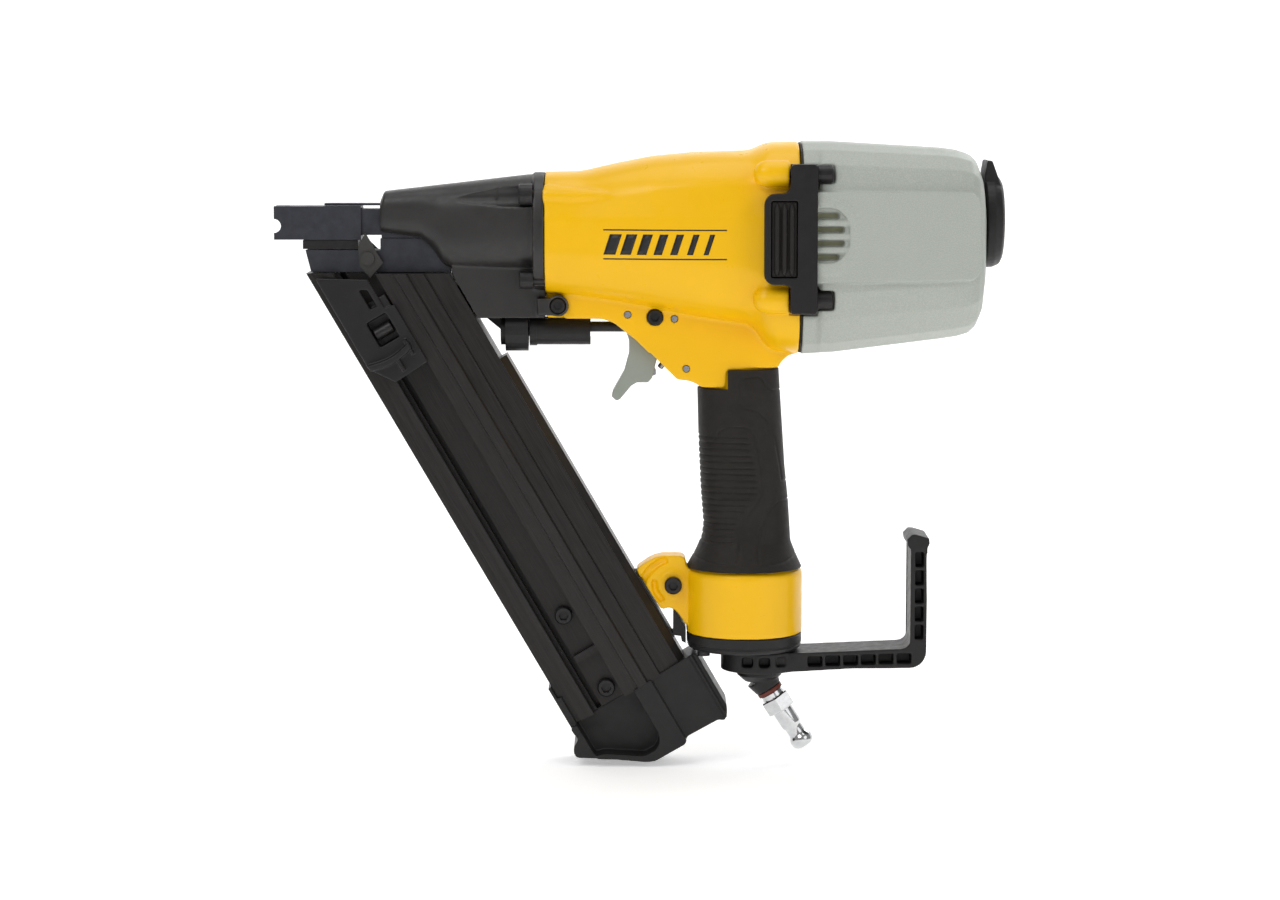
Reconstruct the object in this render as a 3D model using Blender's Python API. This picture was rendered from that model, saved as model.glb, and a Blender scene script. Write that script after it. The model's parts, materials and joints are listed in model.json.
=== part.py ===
"""Pneumatic nail gun, as an assembly of separate solids.

Lengths below are millimetres in the tool's own frame: X runs back along the drive axis from the
contact tip, Z is up and Y = 0 is the middle plane. CENTRE moves the whole tool so that the world
origin is the middle of its bounding box.
"""

import math

import bmesh
import bpy
from mathutils import Matrix, Vector

# ---------------------------------------------------------------- driving sizes
MM = 0.001
CENTRE = Vector((226.7, 0.0, -141.05))
GAP = 0.3                      # clearance between neighbouring pieces
ROUND = 28                     # segments of a full circle

TIP_X, TIP_LENGTH, TIP_HALF = 3.4, 53.3, 9.5
CONTACT_TRAVEL = 11.0
CYLINDER_BORE, CYLINDER_OUTER = 25.5, 28.5
CYLINDER_FROM, CYLINDER_TO = 176.0, 312.0
HOUSING_REAR, CAP_FRONT = 324.2, 325.9
CAP_REAR = 437.5
MAGAZINE_TILT = 30.2           # degrees from vertical
MAGAZINE_START = (25.6, -32.8)
MAGAZINE_WIDTH, MAGAZINE_END = 76.0, 319.5
BASE_X, BASE_RADIUS = 292.4, 36.0
HOOK_X = 302.0
PLUG_START, PLUG_TILT = (307.9, -288.6), 32.5
TRIGGER_PIVOT = (220.0, -53.7)
DEPTH_Z = -65.1
SCREW_Y = 51.0
CAP_SCREW_Z = (33.3, -42.6)

COLOURS = {
    "yellow_paint": ((0.95, 0.56, 0.012), 0.0, 0.35),
    "black_paint": ((0.022, 0.020, 0.019), 0.0, 0.45),
    "grey_green_paint": ((0.40, 0.43, 0.39), 0.0, 0.5),
    "black_anodised": ((0.03, 0.028, 0.027), 0.6, 0.35),
    "steel": ((0.42, 0.42, 0.43), 1.0, 0.35),
    "dark_steel": ((0.10, 0.10, 0.10), 1.0, 0.4),
    "chrome": ((0.75, 0.75, 0.76), 1.0, 0.12),
    "aluminium": ((0.62, 0.63, 0.64), 1.0, 0.35),
    "rubber": ((0.018, 0.017, 0.016), 0.0, 0.75),
    "black_plastic": ((0.025, 0.024, 0.023), 0.0, 0.5),
    "grey_plastic": ((0.30, 0.34, 0.31), 0.0, 0.4),
    "red_seal": ((0.19, 0.032, 0.017), 0.0, 0.5),
}


# ---------------------------------------------------------------- building blocks
def clear_scene():
    for obj in list(bpy.data.objects):
        bpy.data.objects.remove(obj)


def material(name):
    found = bpy.data.materials.get(name)
    if found:
        return found
    colour, metal, rough = COLOURS[name]
    made = bpy.data.materials.new(name)
    made.use_nodes = True
    shader = made.node_tree.nodes["Principled BSDF"]
    shader.inputs["Base Color"].default_value = (*colour, 1.0)
    shader.inputs["Metallic"].default_value = metal
    shader.inputs["Roughness"].default_value = rough
    return made


def solid(name, points, faces, colour, origin=(0.0, 0.0, 0.0)):
    """An object from points in millimetres of the tool frame, with its origin at the given point."""
    origin = Vector(origin)
    shape = bmesh.new()
    corners = [shape.verts.new((Vector(p) - origin) * MM) for p in points]
    for face in faces:
        shape.faces.new([corners[i] for i in face])
    bmesh.ops.triangulate(shape, faces=[f for f in shape.faces if len(f.verts) == 4])
    bmesh.ops.recalc_face_normals(shape, faces=shape.faces)
    if shape.calc_volume(signed=True) < 0:
        bmesh.ops.reverse_faces(shape, faces=shape.faces)
    data = bpy.data.meshes.new(name)
    shape.to_mesh(data)
    shape.free()
    obj = bpy.data.objects.new(name, data)
    obj.location = (origin - CENTRE) * MM
    bpy.context.scene.collection.objects.link(obj)
    if colour:
        data.materials.append(material(colour))
    else:
        obj.hide_render = True
        obj.display_type = "WIRE"
    return obj


def loft(name, sections, colour=None, origin=(0, 0, 0), ring=False):
    """Skin over closed sections of equal count; ring=True joins the last section to the first."""
    n, m = len(sections[0]), len(sections)
    points = [p for section in sections for p in section]
    faces = []
    for j in range(m if ring else m - 1):
        k = (j + 1) % m
        for i in range(n):
            h = (i + 1) % n
            faces.append((j * n + i, j * n + h, k * n + h, k * n + i))
    if not ring:
        faces += [tuple(range(n)), tuple(range((m - 1) * n, m * n))]
    return solid(name, points, faces, colour, origin)


def prism(name, outline, low, high, colour=None, origin=(0, 0, 0), axis="Y"):
    """A flat outline pushed along an axis. Outline pairs are XZ for Y, YZ for X and XY for Z."""
    place = {
        "Y": lambda a, b, h: (a, h, b),
        "X": lambda a, b, h: (h, a, b),
        "Z": lambda a, b, h: (a, b, h),
    }[axis]
    sections = [[place(a, b, h) for a, b in outline] for h in (low, high)]
    return loft(name, sections, colour, origin)


def box(name, x, y, z, colour=None, origin=(0, 0, 0)):
    corners = [(x[0], z[0]), (x[1], z[0]), (x[1], z[1]), (x[0], z[1])]
    return prism(name, corners, y[0], y[1], colour, origin)


def lathe(name, profile, base, direction, colour=None, origin=(0, 0, 0), count=ROUND, hollow=False):
    """Profile pairs are (distance along the axis, radius). A hollow profile is a closed loop."""
    base, axis = Vector(base), Vector(direction).normalized()
    side = axis.cross(Vector((0, 1, 0)) if abs(axis.y) < 0.9 else Vector((1, 0, 0))).normalized()
    other = axis.cross(side)
    rings = []
    for s, r in profile:
        ring = []
        for i in range(count):
            a = 2 * math.pi * (i + 0.5) / count
            ring.append(base + axis * s + (side * math.cos(a) + other * math.sin(a)) * r)
        rings.append(ring)
    return loft(name, rings, colour, origin, ring=hollow)


def rod(name, start, end, radius, colour=None, origin=(0, 0, 0), count=ROUND, tip=None):
    length = (Vector(end) - Vector(start)).length
    ends = [(0, radius), (length, radius if tip is None else tip)]
    return lathe(name, ends, start, Vector(end) - Vector(start), colour, origin, count)


def tube(name, start, end, outer, inner, colour=None, origin=(0, 0, 0), count=ROUND):
    length = (Vector(end) - Vector(start)).length
    loop = [(0, inner), (0, outer), (length, outer), (length, inner)]
    return lathe(name, loop, start, Vector(end) - Vector(start), colour, origin, count, hollow=True)


def boolean(target, operation, tools):
    for tool in tools:
        step = target.modifiers.new(f"{operation.lower()} {tool.name}", "BOOLEAN")
        step.operation = operation
        step.solver = "EXACT"
        step.object = tool
    return target


def cut(target, *tools):
    return boolean(target, "DIFFERENCE", tools)


def join(target, *tools):
    return boolean(target, "UNION", tools)


def oval(middle, half_y, half_z, power=2.0, count=32):
    """A rounded section as YZ pairs; a higher power gives squarer corners."""
    pairs = []
    for i in range(count):
        a = 2 * math.pi * i / count
        c, s = math.cos(a), math.sin(a)
        y = half_y * math.copysign(abs(c) ** (2 / power), c)
        z = middle + half_z * math.copysign(abs(s) ** (2 / power), s)
        pairs.append((y, z))
    return pairs


def arc(cx, cy, radius, start, end, count=6):
    """Points of an arc in degrees, both ends included."""
    turns = [math.radians(start + (end - start) * i / count) for i in range(count + 1)]
    return [(cx + radius * math.cos(t), cy + radius * math.sin(t)) for t in turns]


def hexagon(cx, cy, across_corners, turn=0.0):
    return arc(cx, cy, across_corners / 2, turn, turn + 300, 5)


# ---------------------------------------------------------------- nose
def nose():
    rear = TIP_X + TIP_LENGTH
    tip = box("contact_tip", (TIP_X, rear), (-TIP_HALF, TIP_HALF), (-8.2, 12.2), "dark_steel")
    cut(
        tip,
        box("tip_channel", (-5, rear + 5), (-8.0, 8.0), (-5.9, 11.0)),
        rod("tip_notch", (TIP_X, -20, 0.2), (TIP_X, 20, 0.2), 4.3),
        box("tip_front_slot", (-5, 12), (-3.4, 3.4), (5, 20)),
    )
    guide = box("nose_guide", (69.2, 160.5), (-8.6, 8.6), (-7.0, 8.4), "dark_steel")
    join(
        guide,
        box("guide_tongue", (16, 70), (-7.4, 7.4), (-5.4, 10.5)),
        box("guide_root", (69.2, 80), (-8.6, 8.6), (8, 13.9)),
        box("guide_top_rail", (34, 70), (-4.6, 4.6), (12.6, 13.9)),
    )
    cut(
        guide,
        box("blade_channel", (0, 200), (-3.3, 3.3), (-4.0, 4.0)),
        box("nail_entry", (19, 110), (-2.4, 2.4), (-20, 0)),
    )
    feed = prism(
        "feed_block",
        [(22.4, -14.6), (68.4, -14.6), (68.4, -7.5), (111.4, -7.5), (111.4, -28.1), (25.8, -28.1)],
        -8.0, 8.0, "dark_steel",
    )
    cut(feed, box("feed_slot", (0, 100), (-2.4, 2.4), (-40, -3)))
    join(feed, box("feed_bridge", (92.0, 98.0), (-8.0, 8.0), (-27.9, -16.0)))
    # The lever on the side of the feed block blocks the contact bar when the nails run out.
    lever_hub = (61.0, -9.4, -21.0)
    lever = prism(
        "dry_fire_lever",
        [(59.5, -4.0), (70.4, -22.2), (62.3, -31.4), (56.0, -24.0), (55.2, -11.8)],
        -13.6, -10.2, "dark_steel", lever_hub,
    )
    cut(lever, rod("lever_bore", (61.0, -30, -19.5), (61.0, 0, -19.5), 2.6, count=20))
    pin = lathe(
        "dry_fire_pin", [(0, 4.2), (1.4, 4.2), (1.4, 2.2), (6.2, 2.2)],
        (61.0, -15.1, -19.5), (0, 1, 0), "chrome", count=20,
    )
    casting_sections = []
    for x, low, high, half, power in [
        (68.6, -4.3, 15.7, 14.0, 3.4), (71.0, -4.4, 21.3, 16.0, 3.4), (92.8, -7.6, 23.8, 18.0, 3.2),
        (100.4, -14.2, 24.7, 19.0, 3.0), (106.4, -23.6, 25.4, 20.0, 3.0),
        (112.0, -26.5, 26.0, 21.0, 3.0), (140.0, -26.5, 29.3, 25.0, 3.0),
        (160.0, -26.5, 31.6, 28.0, 3.0), (162.6, -39.6, 32.9, 35.5, 2.6), (169.3, -39.6, 32.9, 35.5, 2.6),
    ]:
        ring = oval((low + high) / 2, half, (high - low) / 2, power)
        casting_sections.append([(x, y, z) for y, z in ring])
    casting = loft("nose_casting", casting_sections, "black_paint")
    join(
        casting,
        prism("casting_foot", [(112.5, -20), (112.5, -29), (127.8, -56.1), (169.3, -56.1), (169.3, -20)],
              -14, 14),
        box("ear_arm", (165.0, 179.2), (-20.2, -12.0), (-54.0, -43.4)),
        rod("ear_disc", (177.4, -20.4, -48.1), (177.4, -17.2, -48.1), 6.6, count=32),
    )
    tools = [
        rod("ear_pocket", (177.4, -25.0, -48.1), (177.4, -18.2, -48.1), 5.0, count=24),
        rod("ear_screw_bore", (177.4, -19.0, -48.1), (177.4, -16.0, -48.1), 1.8, count=16),
        box("guide_pocket", (60, 161), (-9.0, 9.0), (-7.4, 8.8)),
        box("guide_mouth", (60, 112), (-9.0, 9.0), (-40, 0)),
        box("guide_root_pocket", (60, 80.4), (-9.0, 9.0), (0, 14.3)),
        rod("blade_hole", (150, 0, 0), (180, 0, 0), 5.0, count=20),
        rod("wheel_pocket", (144.0, 0, DEPTH_Z), (159.8, 0, DEPTH_Z), 12.7),
        rod("rod_groove", (120, 0, DEPTH_Z), (180, 0, DEPTH_Z), 9.0),
    ]
    for side in (-1, 1):
        for z in (20.0, -32.0):
            y = side * (26.0 if z > 0 else 23.0)
            tools.append(rod(f"flange_hole_{side}_{z:.0f}", (150, y, z), (175, y, z), 3.3, count=16))
            tools.append(rod(f"flange_seat_{side}_{z:.0f}", (140, y, z), (162.5, y, z), 7.4, count=24))
    cut(casting, *tools)
    for side, hand in ((-1, "near"), (1, "far")):
        for z, row in ((20.0, "upper"), (-32.0, "lower")):
            y = side * (26.0 if z > 0 else 23.0)
            head = 6.6 if z > 0 else 5.5
            socket_screw(f"nose_screw_{row}_{hand}", (154.0, y, z), (1, 0, 0), head, 8.4, 3.0, 27.0)
    return guide, feed, pin


def socket_screw(name, head_face, direction, head, head_length, shank, length, colour="dark_steel"):
    """A cap screw with a hexagon socket, from the outer face of its head along its shank."""
    axis = Vector(direction).normalized()
    screw = lathe(
        name,
        [(0, head - 0.7), (0.7, head), (head_length, head), (head_length, shank), (length, shank)],
        head_face, axis, colour, count=24,
    )
    start = Vector(head_face)
    socket = rod(f"{name}_socket", start - axis * 2, start + axis * head_length * 0.55, head * 0.58, count=6)
    return cut(screw, socket)


def contact_parts():
    bar = box("contact_arm", (20.9, 54.7), (-8.5, 20.6), (-13.9, -8.6), "dark_steel")
    join(
        bar,
        prism(
            "arm_plate",
            [(44, -8.6), (58, -8.6), (72, -22), (100, -29.5), (132, -43), (150, -56), (186.5, -58.5),
             (186.5, -69.5), (146, -69.5), (126, -53), (98, -39), (68, -30.5), (54, -13.9), (44, -13.9)],
            18.2, 20.6,
        ),
        box("arm_crossing", (182.3, 186.5), (-2.6, 20.6), (-68.0, -62.2)),
        rod("arm_tail", (143.0, 0, DEPTH_Z), (184.0, 0, DEPTH_Z), 2.9, count=20),
        rod("tail_collar", (162.8, 0, DEPTH_Z), (164.4, 0, DEPTH_Z), 5.4, count=20),
    )
    wheel = lathe(
        "depth_wheel", [(0, 3.4), (0, 8.2), (3.0, 8.2), (3.0, 12.0), (17.0, 12.0), (17.0, 3.4)],
        (141.8, 0, DEPTH_Z), (1, 0, 0), "black_plastic", (151.8, 0, DEPTH_Z), hollow=True,
    )
    sleeve = lathe(
        "trip_guide",
        [(0, 6.0), (0, 8.8), (4.4, 8.8), (4.4, 8.2), (37.4, 8.2), (37.4, 6.0), (22.0, 6.0), (22.0, 3.4),
         (20.4, 3.4), (20.4, 6.0)],
        (159.6, 0, DEPTH_Z), (1, 0, 0), "black_plastic", hollow=True,
    )
    cut(sleeve, box("arm_slot", (181.9, 200), (0, 20), (-68.8, -61.4)),
        rod("trip_bore", (181.9, 0, -62.2), (200, 0, -62.2), 3.7, count=20))
    rod_part = lathe(
        "trip_rod", [(0, 3.2), (31.5, 3.2), (32.7, 2.4)], (186.9, 0, -62.2), (1, 0, 0), "dark_steel", count=20,
    )
    spring = coil("contact_spring", (165.3, 0, DEPTH_Z), (179.0, 0, DEPTH_Z), 4.4, 0.55, 3.5)
    return wheel, sleeve, rod_part, spring


def coil(name, start, end, radius, wire, turns, colour="steel", steps=12, sides=6):
    """A helical spring of round wire between two points."""
    start, end = Vector(start), Vector(end)
    axis = (end - start).normalized()
    side = axis.cross(Vector((0, 1, 0)) if abs(axis.y) < 0.9 else Vector((1, 0, 0))).normalized()
    other = axis.cross(side)
    rings = []
    total = turns * steps
    for i in range(int(total) + 1):
        a = 2 * math.pi * i / steps
        out = side * math.cos(a) + other * math.sin(a)
        centre = start.lerp(end, i / total) + out * radius
        rings.append([
            centre + out * wire * math.cos(2 * math.pi * k / sides) + axis * wire * math.sin(2 * math.pi * k / sides)
            for k in range(sides)
        ])
    return loft(name, rings, colour)


# ---------------------------------------------------------------- main housing
def housing():
    sections = []
    for x, low, high, half, power in [
        (169.7, -41.0, 33.0, 36.0, 2.4), (192.0, -43.5, 33.6, 37.0, 2.4), (211.6, -46.0, 38.2, 41.0, 2.4),
        (234.3, -50.0, 42.7, 45.0, 2.4), (260.4, -55.0, 45.2, 47.5, 2.5), (295.5, -60.0, 46.2, 48.5, 2.6),
        (300.0, -66.0, 49.0, 49.5, 2.7), (305.7, -75.0, 51.2, 50.5, 2.8), (HOUSING_REAR, -78.0, 51.5, 51.5, 2.8),
    ]:
        sections.append([(x, y, z) for y, z in oval((low + high) / 2, half, (high - low) / 2, power)])
    body = loft("main_housing", sections, "yellow_paint")
    neck = prism(
        "trigger_housing",
        [(180.0, -30), (180.0, -56.1), (204.8, -56.4), (211.6, -58.8), (219.6, -65.2), (245.6, -84.6),
         (247.7, -85.7), (248.4, -91.4), (250.2, -93.7), (257.0, -94.2), (261.5, -95.9), (264.9, -98.2),
         (277.2, -99.1), (279.7, -97.6), (280.8, -87.4), (312.5, -86.2), (313.6, -83.4), (318.1, -78.8),
         (323.9, -77.2), (323.9, -30)],
        -17.0, 17.0,
    )
    core = loft("handle_core", handle_sections(-4.0, [-84.0, -100.0, -150.0, -184.0, -195.0, -204.0, -211.0, -214.0]))
    base = lathe(
        "handle_base", [(0, BASE_RADIUS - 2.5), (2.5, BASE_RADIUS), (40.3, BASE_RADIUS)],
        (BASE_X, 0, -211.8), (0, 0, -1), count=48,
    )
    arm = prism(
        "magazine_arm",
        [(224.6, -212.3), (234.4, -205.7), (240.9, -203.7), (255.6, -204.0), (256.2, -211.4), (275, -215), (275, -248),
         (256.0, -247.9), (251.4, -240.0), (246.1, -236.0), (240.9, -238.0)],
        -10, 10,
    )
    join(body, neck, core, base, arm)
    for side in (-1, 1):
        for z in CAP_SCREW_Z:
            boss = lathe(f"screw_boss_{side}_{z:.0f}", [(0, 5.5), (6, 8.0), (21.5, 8.0)],
                         (296, side * (SCREW_Y - 2), z), (1, 0, 0), count=24)
            join(body, boss)
    tools = [
        lathe("cylinder_bore", [(0, 20.0), (5.8, 20.0), (5.8, 29.2), (170, 29.2)], (169.0, 0, 0), (1, 0, 0),
              count=48),
        rod("front_bore", (160, 0, 0), (180, 0, 0), 12.0),
        loft("handle_cavity", handle_sections(-9.0, [-70.0, -100.0, -150.0, -200.0, -215.0, -260.0])),
        box("trigger_pocket", (213.0, 245.0), (-8.2, 8.2), (-100, -47.5)),
        rod("valve_bore", (241.3, 0, -85.7), (258.2, 0, -63.1), 5.4, count=24),
        rod("trigger_pin_bore", (TRIGGER_PIVOT[0], -30, TRIGGER_PIVOT[1]),
            (TRIGGER_PIVOT[0], 30, TRIGGER_PIVOT[1]), 2.35, count=16),
        rod("side_screw_bore", (236.7, -30, -55.3), (236.7, -11, -55.3), 5.2, count=24),
        rod("upper_pin_bore", (248.6, -30, -56.3), (248.6, -11, -56.3), 2.3, count=16),
        rod("lower_pin_bore", (255.9, -30, -86.9), (255.9, -11, -86.9), 2.3, count=16),
        rod("trip_entry", (196, 0, -62.2), (221, 0, -62.2), 9.2, count=24),
        box("trip_clearance", (175.0, 214.0), (-9.2, 9.2), (-80, -55.0)),
        rod("bracket_bolt_bore", (248.1, -30, -221.9), (248.1, 30, -221.9), 3.3, count=16),
    ]
    for side in (-1, 1):
        for z in CAP_SCREW_Z:
            y = side * SCREW_Y
            tools.append(rod(f"boss_bore_{side}_{z:.0f}", (299, y, z), (340, y, z), 3.3, count=16))
            tools.append(box(f"guard_seat_{side}_{z:.0f}", (317.3, 330), tuple(sorted((side * 46.0, side * 80.0))),
                             (z - 9.4, z + 8.4)))
    for side in (-1, 1):
        for z, y in ((20.0, 26.0), (-32.0, 23.0)):
            tools.append(rod(f"nose_bore_{side}_{z:.0f}", (160, side * y, z), (182, side * y, z), 3.3, count=16))
    cut(body, *tools)


def handle_sections(grow, heights, count=28):
    """Sections of the handle at the given heights; grow moves the skin in (negative) or out."""
    front = [(-84, 262.6), (-100, 263.0), (-133, 263.8), (-163, 265.2), (-184, 266.9), (-192.5, 265.8),
             (-201, 262.2), (-211, 256.6), (-262, 256.6)]
    back = [(-84, 313.0), (-90, 313.3), (-101, 314.0), (-148, 317.1), (-169, 319.3), (-195, 321.0),
            (-204, 324.6), (-211, 327.8), (-262, 327.8)]
    wide = [(-84, 19.0), (-100, 20.5), (-150, 21.5), (-184, 22.0), (-195, 24.0), (-204, 30.0),
            (-211, 35.6), (-262, 35.6)]
    rings = []
    for z in heights:
        x0, x1, half = (between(line, z) for line in (front, back, wide))
        ring = oval((x0 + x1) / 2, half + grow, (x1 - x0) / 2 + grow, 2.3, count)
        rings.append([(x, y, z) for y, x in ring])
    return rings


def between(line, at):
    """The value at a height on a line of (height, value) pairs that runs downward."""
    if at >= line[0][0]:
        return line[0][1]
    for (a, v), (b, w) in zip(line, line[1:]):
        if at >= b:
            return v + (w - v) * (at - a) / (b - a)
    return line[-1][1]


def grip():
    sleeve = loft("grip_sleeve", handle_sections(0.0, [
        -87.8, -100.0, -117.0, -133.0, -150.0, -165.0, -178.0, -187.0, -195.0, -201.0, -206.0, -210.9,
    ]), "rubber")
    cut(
        sleeve,
        loft("grip_inside", handle_sections(-3.6, [-84.0, -100.0, -150.0, -184.0, -195.0, -204.0, -211.0, -214.0])),
        box("grip_front_step", (240, 281.4), (-60, 60), (-99.6, -70)),
    )
    return sleeve


# ---------------------------------------------------------------- drive parts inside the barrel
def drive_parts():
    sleeve = tube("cylinder_sleeve", (CYLINDER_FROM, 0, 0), (CYLINDER_TO, 0, 0), CYLINDER_OUTER, CYLINDER_BORE,
                  "aluminium", count=48)
    cut(sleeve, *[
        rod(f"return_port_{i}", (196, 0, 0),
            (196, 40 * math.cos(math.radians(a)), 40 * math.sin(math.radians(a))), 2.4, count=12)
        for i, a in enumerate(range(30, 390, 60))
    ])
    bumper = lathe("bumper", [(0, 8.0), (0, 24.6), (14, 23.0), (22, 18.0), (22, 8.0)], (176.4, 0, 0),
                   (1, 0, 0), "rubber", hollow=True)
    piston = lathe("piston", [(0, 6.0), (0, 20.0), (3, 24.9), (4.2, 24.9), (4.2, 22.4), (6.8, 22.4),
                              (6.8, 24.9), (11, 24.9), (11, 8.0)],
                   (299.5, 0, 0), (1, 0, 0), "aluminium", (305.0, 0, 0), count=40)
    cut(piston, box("blade_seat", (290, 307), (-3.0, 3.0), (-3.6, 3.6)))
    ring = tube("piston_ring", (304.0, 0, 0), (306.0, 0, 0), 25.25, 22.7, "rubber", (305.0, 0, 0), 40)
    blade = box("driver_blade", (112.0, 306.7), (-2.7, 2.7), (-3.3, 3.3), "steel", (305.0, 0, 0))
    valve = lathe("head_valve", [(0, 24.0), (0, 31.2), (9, 31.2), (9, 16.0), (26, 16.0), (26, 9.0), (3, 9.0),
                                 (3, 24.0)],
                  (328.0, 0, 0), (1, 0, 0), "aluminium", (328.0, 0, 0), hollow=True, count=40)
    spring = coil("head_valve_spring", (339.0, 0, 0), (370.5, 0, 0), 21.0, 1.3, 4)
    return bumper, ring, blade, valve, spring


# ---------------------------------------------------------------- rear cap
def cap_outline(grow=0.0, top=51.8, bottom=-78.2, half=54.0):
    """The faceted section of the cap as YZ pairs, both halves."""
    tall = top - bottom
    side = [(half * y, bottom + tall * z) for y, z in (
        (0.0, 1.0), (0.42, 0.995), (0.70, 0.963), (0.90, 0.896), (1.0, 0.758), (1.0, 0.30),
        (0.93, 0.177), (0.74, 0.062), (0.46, 0.009), (0.0, 0.0),
    )]
    ring = [(-y, z) for y, z in side] + [(y, z) for y, z in side[-2:0:-1]]
    middle = (top + bottom) / 2
    out = []
    for y, z in ring:
        reach = math.hypot(y, z - middle)
        factor = (reach + grow) / reach
        out.append((y * factor, middle + (z - middle) * factor))
    return out


def cap_parts():
    gasket = prism("cap_gasket", cap_outline(0, 51.0, -77.4, 50.6), HOUSING_REAR + 0.3, CAP_FRONT - 0.3, "rubber", axis="X")
    profile = [(CAP_FRONT, 51.8, -78.2, 51.5), (334.2, 51.8, -77.7, 51.6), (337.0, 51.8, -77.4, 54.0),
               (345.0, 51.8, -77.0, 54.0), (411.6, 47.9, -68.6, 53.0),
               (420.8, 46.6, -67.2, 52.0), (427.6, 44.5, -65.2, 50.5), (431.9, 40.2, -61.2, 48.0),
               (435.3, 31.0, -54.0, 42.0), (CAP_REAR, 16.0, -40.0, 30.0)]
    cap = loft("rear_cap", [[(x, y, z) for y, z in cap_outline(0, top, low, half)]
                            for x, top, low, half in profile], "grey_green_paint")
    for side in (-1, 1):
        panel = loft(f"cap_panel_{side}", [
            [(x, side * y, z) for x, z in ((328.6, 21.4), (336.0, 22.8), (428.0, 21.6), (432.0, 16.0), (432.5, -24.0),
                                          (428.0, -30.4), (328.6, -32.4))]
            for y in (45.0, 58.2)
        ])
        join(cap, panel)
    tools = [
        lathe("cap_chamber", [(0, 33.0), (46, 33.0), (46, 24.0), (70, 24.0), (84, 10.0), (130, 10.0)],
              (324.0, 0, 0), (1, 0, 0), count=36),
    ]
    for side in (-1, 1):
        low, high = sorted((side * 45.2, side * 80.0))
        for z in CAP_SCREW_Z:
            tools.append(box(f"screw_pocket_{side}_{z:.0f}", (320, 334.8), (low, high), (z - 9.6, z + 8.6)))
            tools.append(rod(f"head_groove_{side}_{z:.0f}", (330, side * SCREW_Y, z), (344.4, side * SCREW_Y, z),
                             6.2, count=24))
    # The slotted window on the side: a shallow recess with four deeper slots.
    for side in (-1, 1):
        low, high = sorted((side * 56.4, side * 80.0))
        tools.append(box(f"window_{side}", (331.6, 352.0), (low, high), (-20.0, 12.8)))
        low, high = sorted((side * 50.5, side * 80.0))
        for i in range(4):
            z = 10.4 - 8.2 * i
            tools.append(box(f"slot_{side}_{i}", (333.0, 349.6), (low, high), (z - 4.0, z)))
    cut(cap, *tools)
    cut(gasket, rod("gasket_hole", (300, 0, 0), (340, 0, 0), 33.0, count=40))
    for side, hand in ((-1, "near"), (1, "far")):
        low, high = sorted((side * 45.5, side * 80.0))
        cut(gasket, *[box(f"gasket_notch_{hand}_{z:.0f}", (300, 340), (low, high), (z - 9.6, z + 8.6))
                      for z in CAP_SCREW_Z])
        guard(side, hand)
        for z, row in zip(CAP_SCREW_Z, ("upper", "lower")):
            socket_screw(f"cap_screw_{row}_{hand}", (343.0, side * SCREW_Y, z), (-1, 0, 0), 5.2, 8.8, 2.9, 40.0)


def guard(side, hand):
    """The black bracket on one side, with its ribbed pad."""
    inner, outer = 52.1, 61.0
    frame = prism(
        f"side_guard_{hand}",
        [(317.7, 39.0), (333.8, 39.0), (333.8, 25.6), (326.6, 21.0), (325.3, -5.7), (327.0, -33.8),
         (333.8, -37.2), (333.8, -50.5), (317.7, -50.5), (317.7, -34.3), (314.5, -32.9), (305.5, -32.9),
         (301.8, -29.2), (301.8, 17.0), (305.2, 21.3), (315.4, 21.7), (317.7, 26.8)],
        *sorted((side * inner, side * outer)), "black_paint",
    )
    for low in (25.6, -50.5):
        foot = box(f"guard_foot_{hand}_{low:.0f}", (317.7, 333.8), tuple(sorted((side * 46.4, side * 53.0))),
                   (low, low + 13.4))
        join(frame, foot)
    cut(frame, box(f"pad_pocket_{hand}", (305.9, 321.7), tuple(sorted((side * 54.3, side * 70.0))), (-28.7, 17.2)))
    cut(frame, *[rod(f"guard_bore_{hand}_{z:.0f}", (300, side * SCREW_Y, z), (340, side * SCREW_Y, z), 3.3, count=16)
                 for z in CAP_SCREW_Z])
    pad = box(f"guard_pad_{hand}", (306.3, 321.3), tuple(sorted((side * 54.7, side * 62.2))), (-28.2, 16.7),
              "rubber")
    cut(pad, *[box(f"pad_groove_{hand}_{i}", (x, x + 1.6), tuple(sorted((side * 60.6, side * 70.0))), (-26.4, 14.9))
               for i, x in enumerate((310.6, 315.6))])


def deflector():
    hub_z = 3.0
    body = lathe(
        "exhaust_deflector",
        [(0, 25.0), (1.0, 28.5), (6.0, 28.4), (10.0, 26.6), (11.6, 23.5), (12.0, 17.0)],
        (437.9, 0, hub_z), (1, 0, 0), "black_plastic", (443.0, 0, hub_z), count=48,
    )
    fin = prism("deflector_fin", [(437.9, 22), (437.9, 31.8), (439.3, 40.4), (442.4, 40.1), (448.4, 23.6)],
                -15.0, 15.0)
    join(body, fin)
    cut(
        body,
        box("deflector_mouth", (440.6, 446.8), (-12.5, 12.5), (10.0, 60)),
        lathe("deflector_inside", [(0, 14.0), (8.4, 14.0)], (430.0, 0, hub_z + 1.0), (1, 0, 0)),
        rod("deflector_duct", (440.6, 0, 0), (446.8, 0, 0), 12.0),
        rod("deflector_bore", (430, 0, hub_z), (460, 0, hub_z), 3.2, count=20),
        lathe("deflector_seat", [(0, 6.2), (5, 6.2)], (447.2, 0, hub_z), (1, 0, 0), count=24),
    )
    socket_screw("deflector_screw", (450.0, 0, hub_z), (-1, 0, 0), 5.6, 2.5, 2.8, 9.0)


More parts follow.
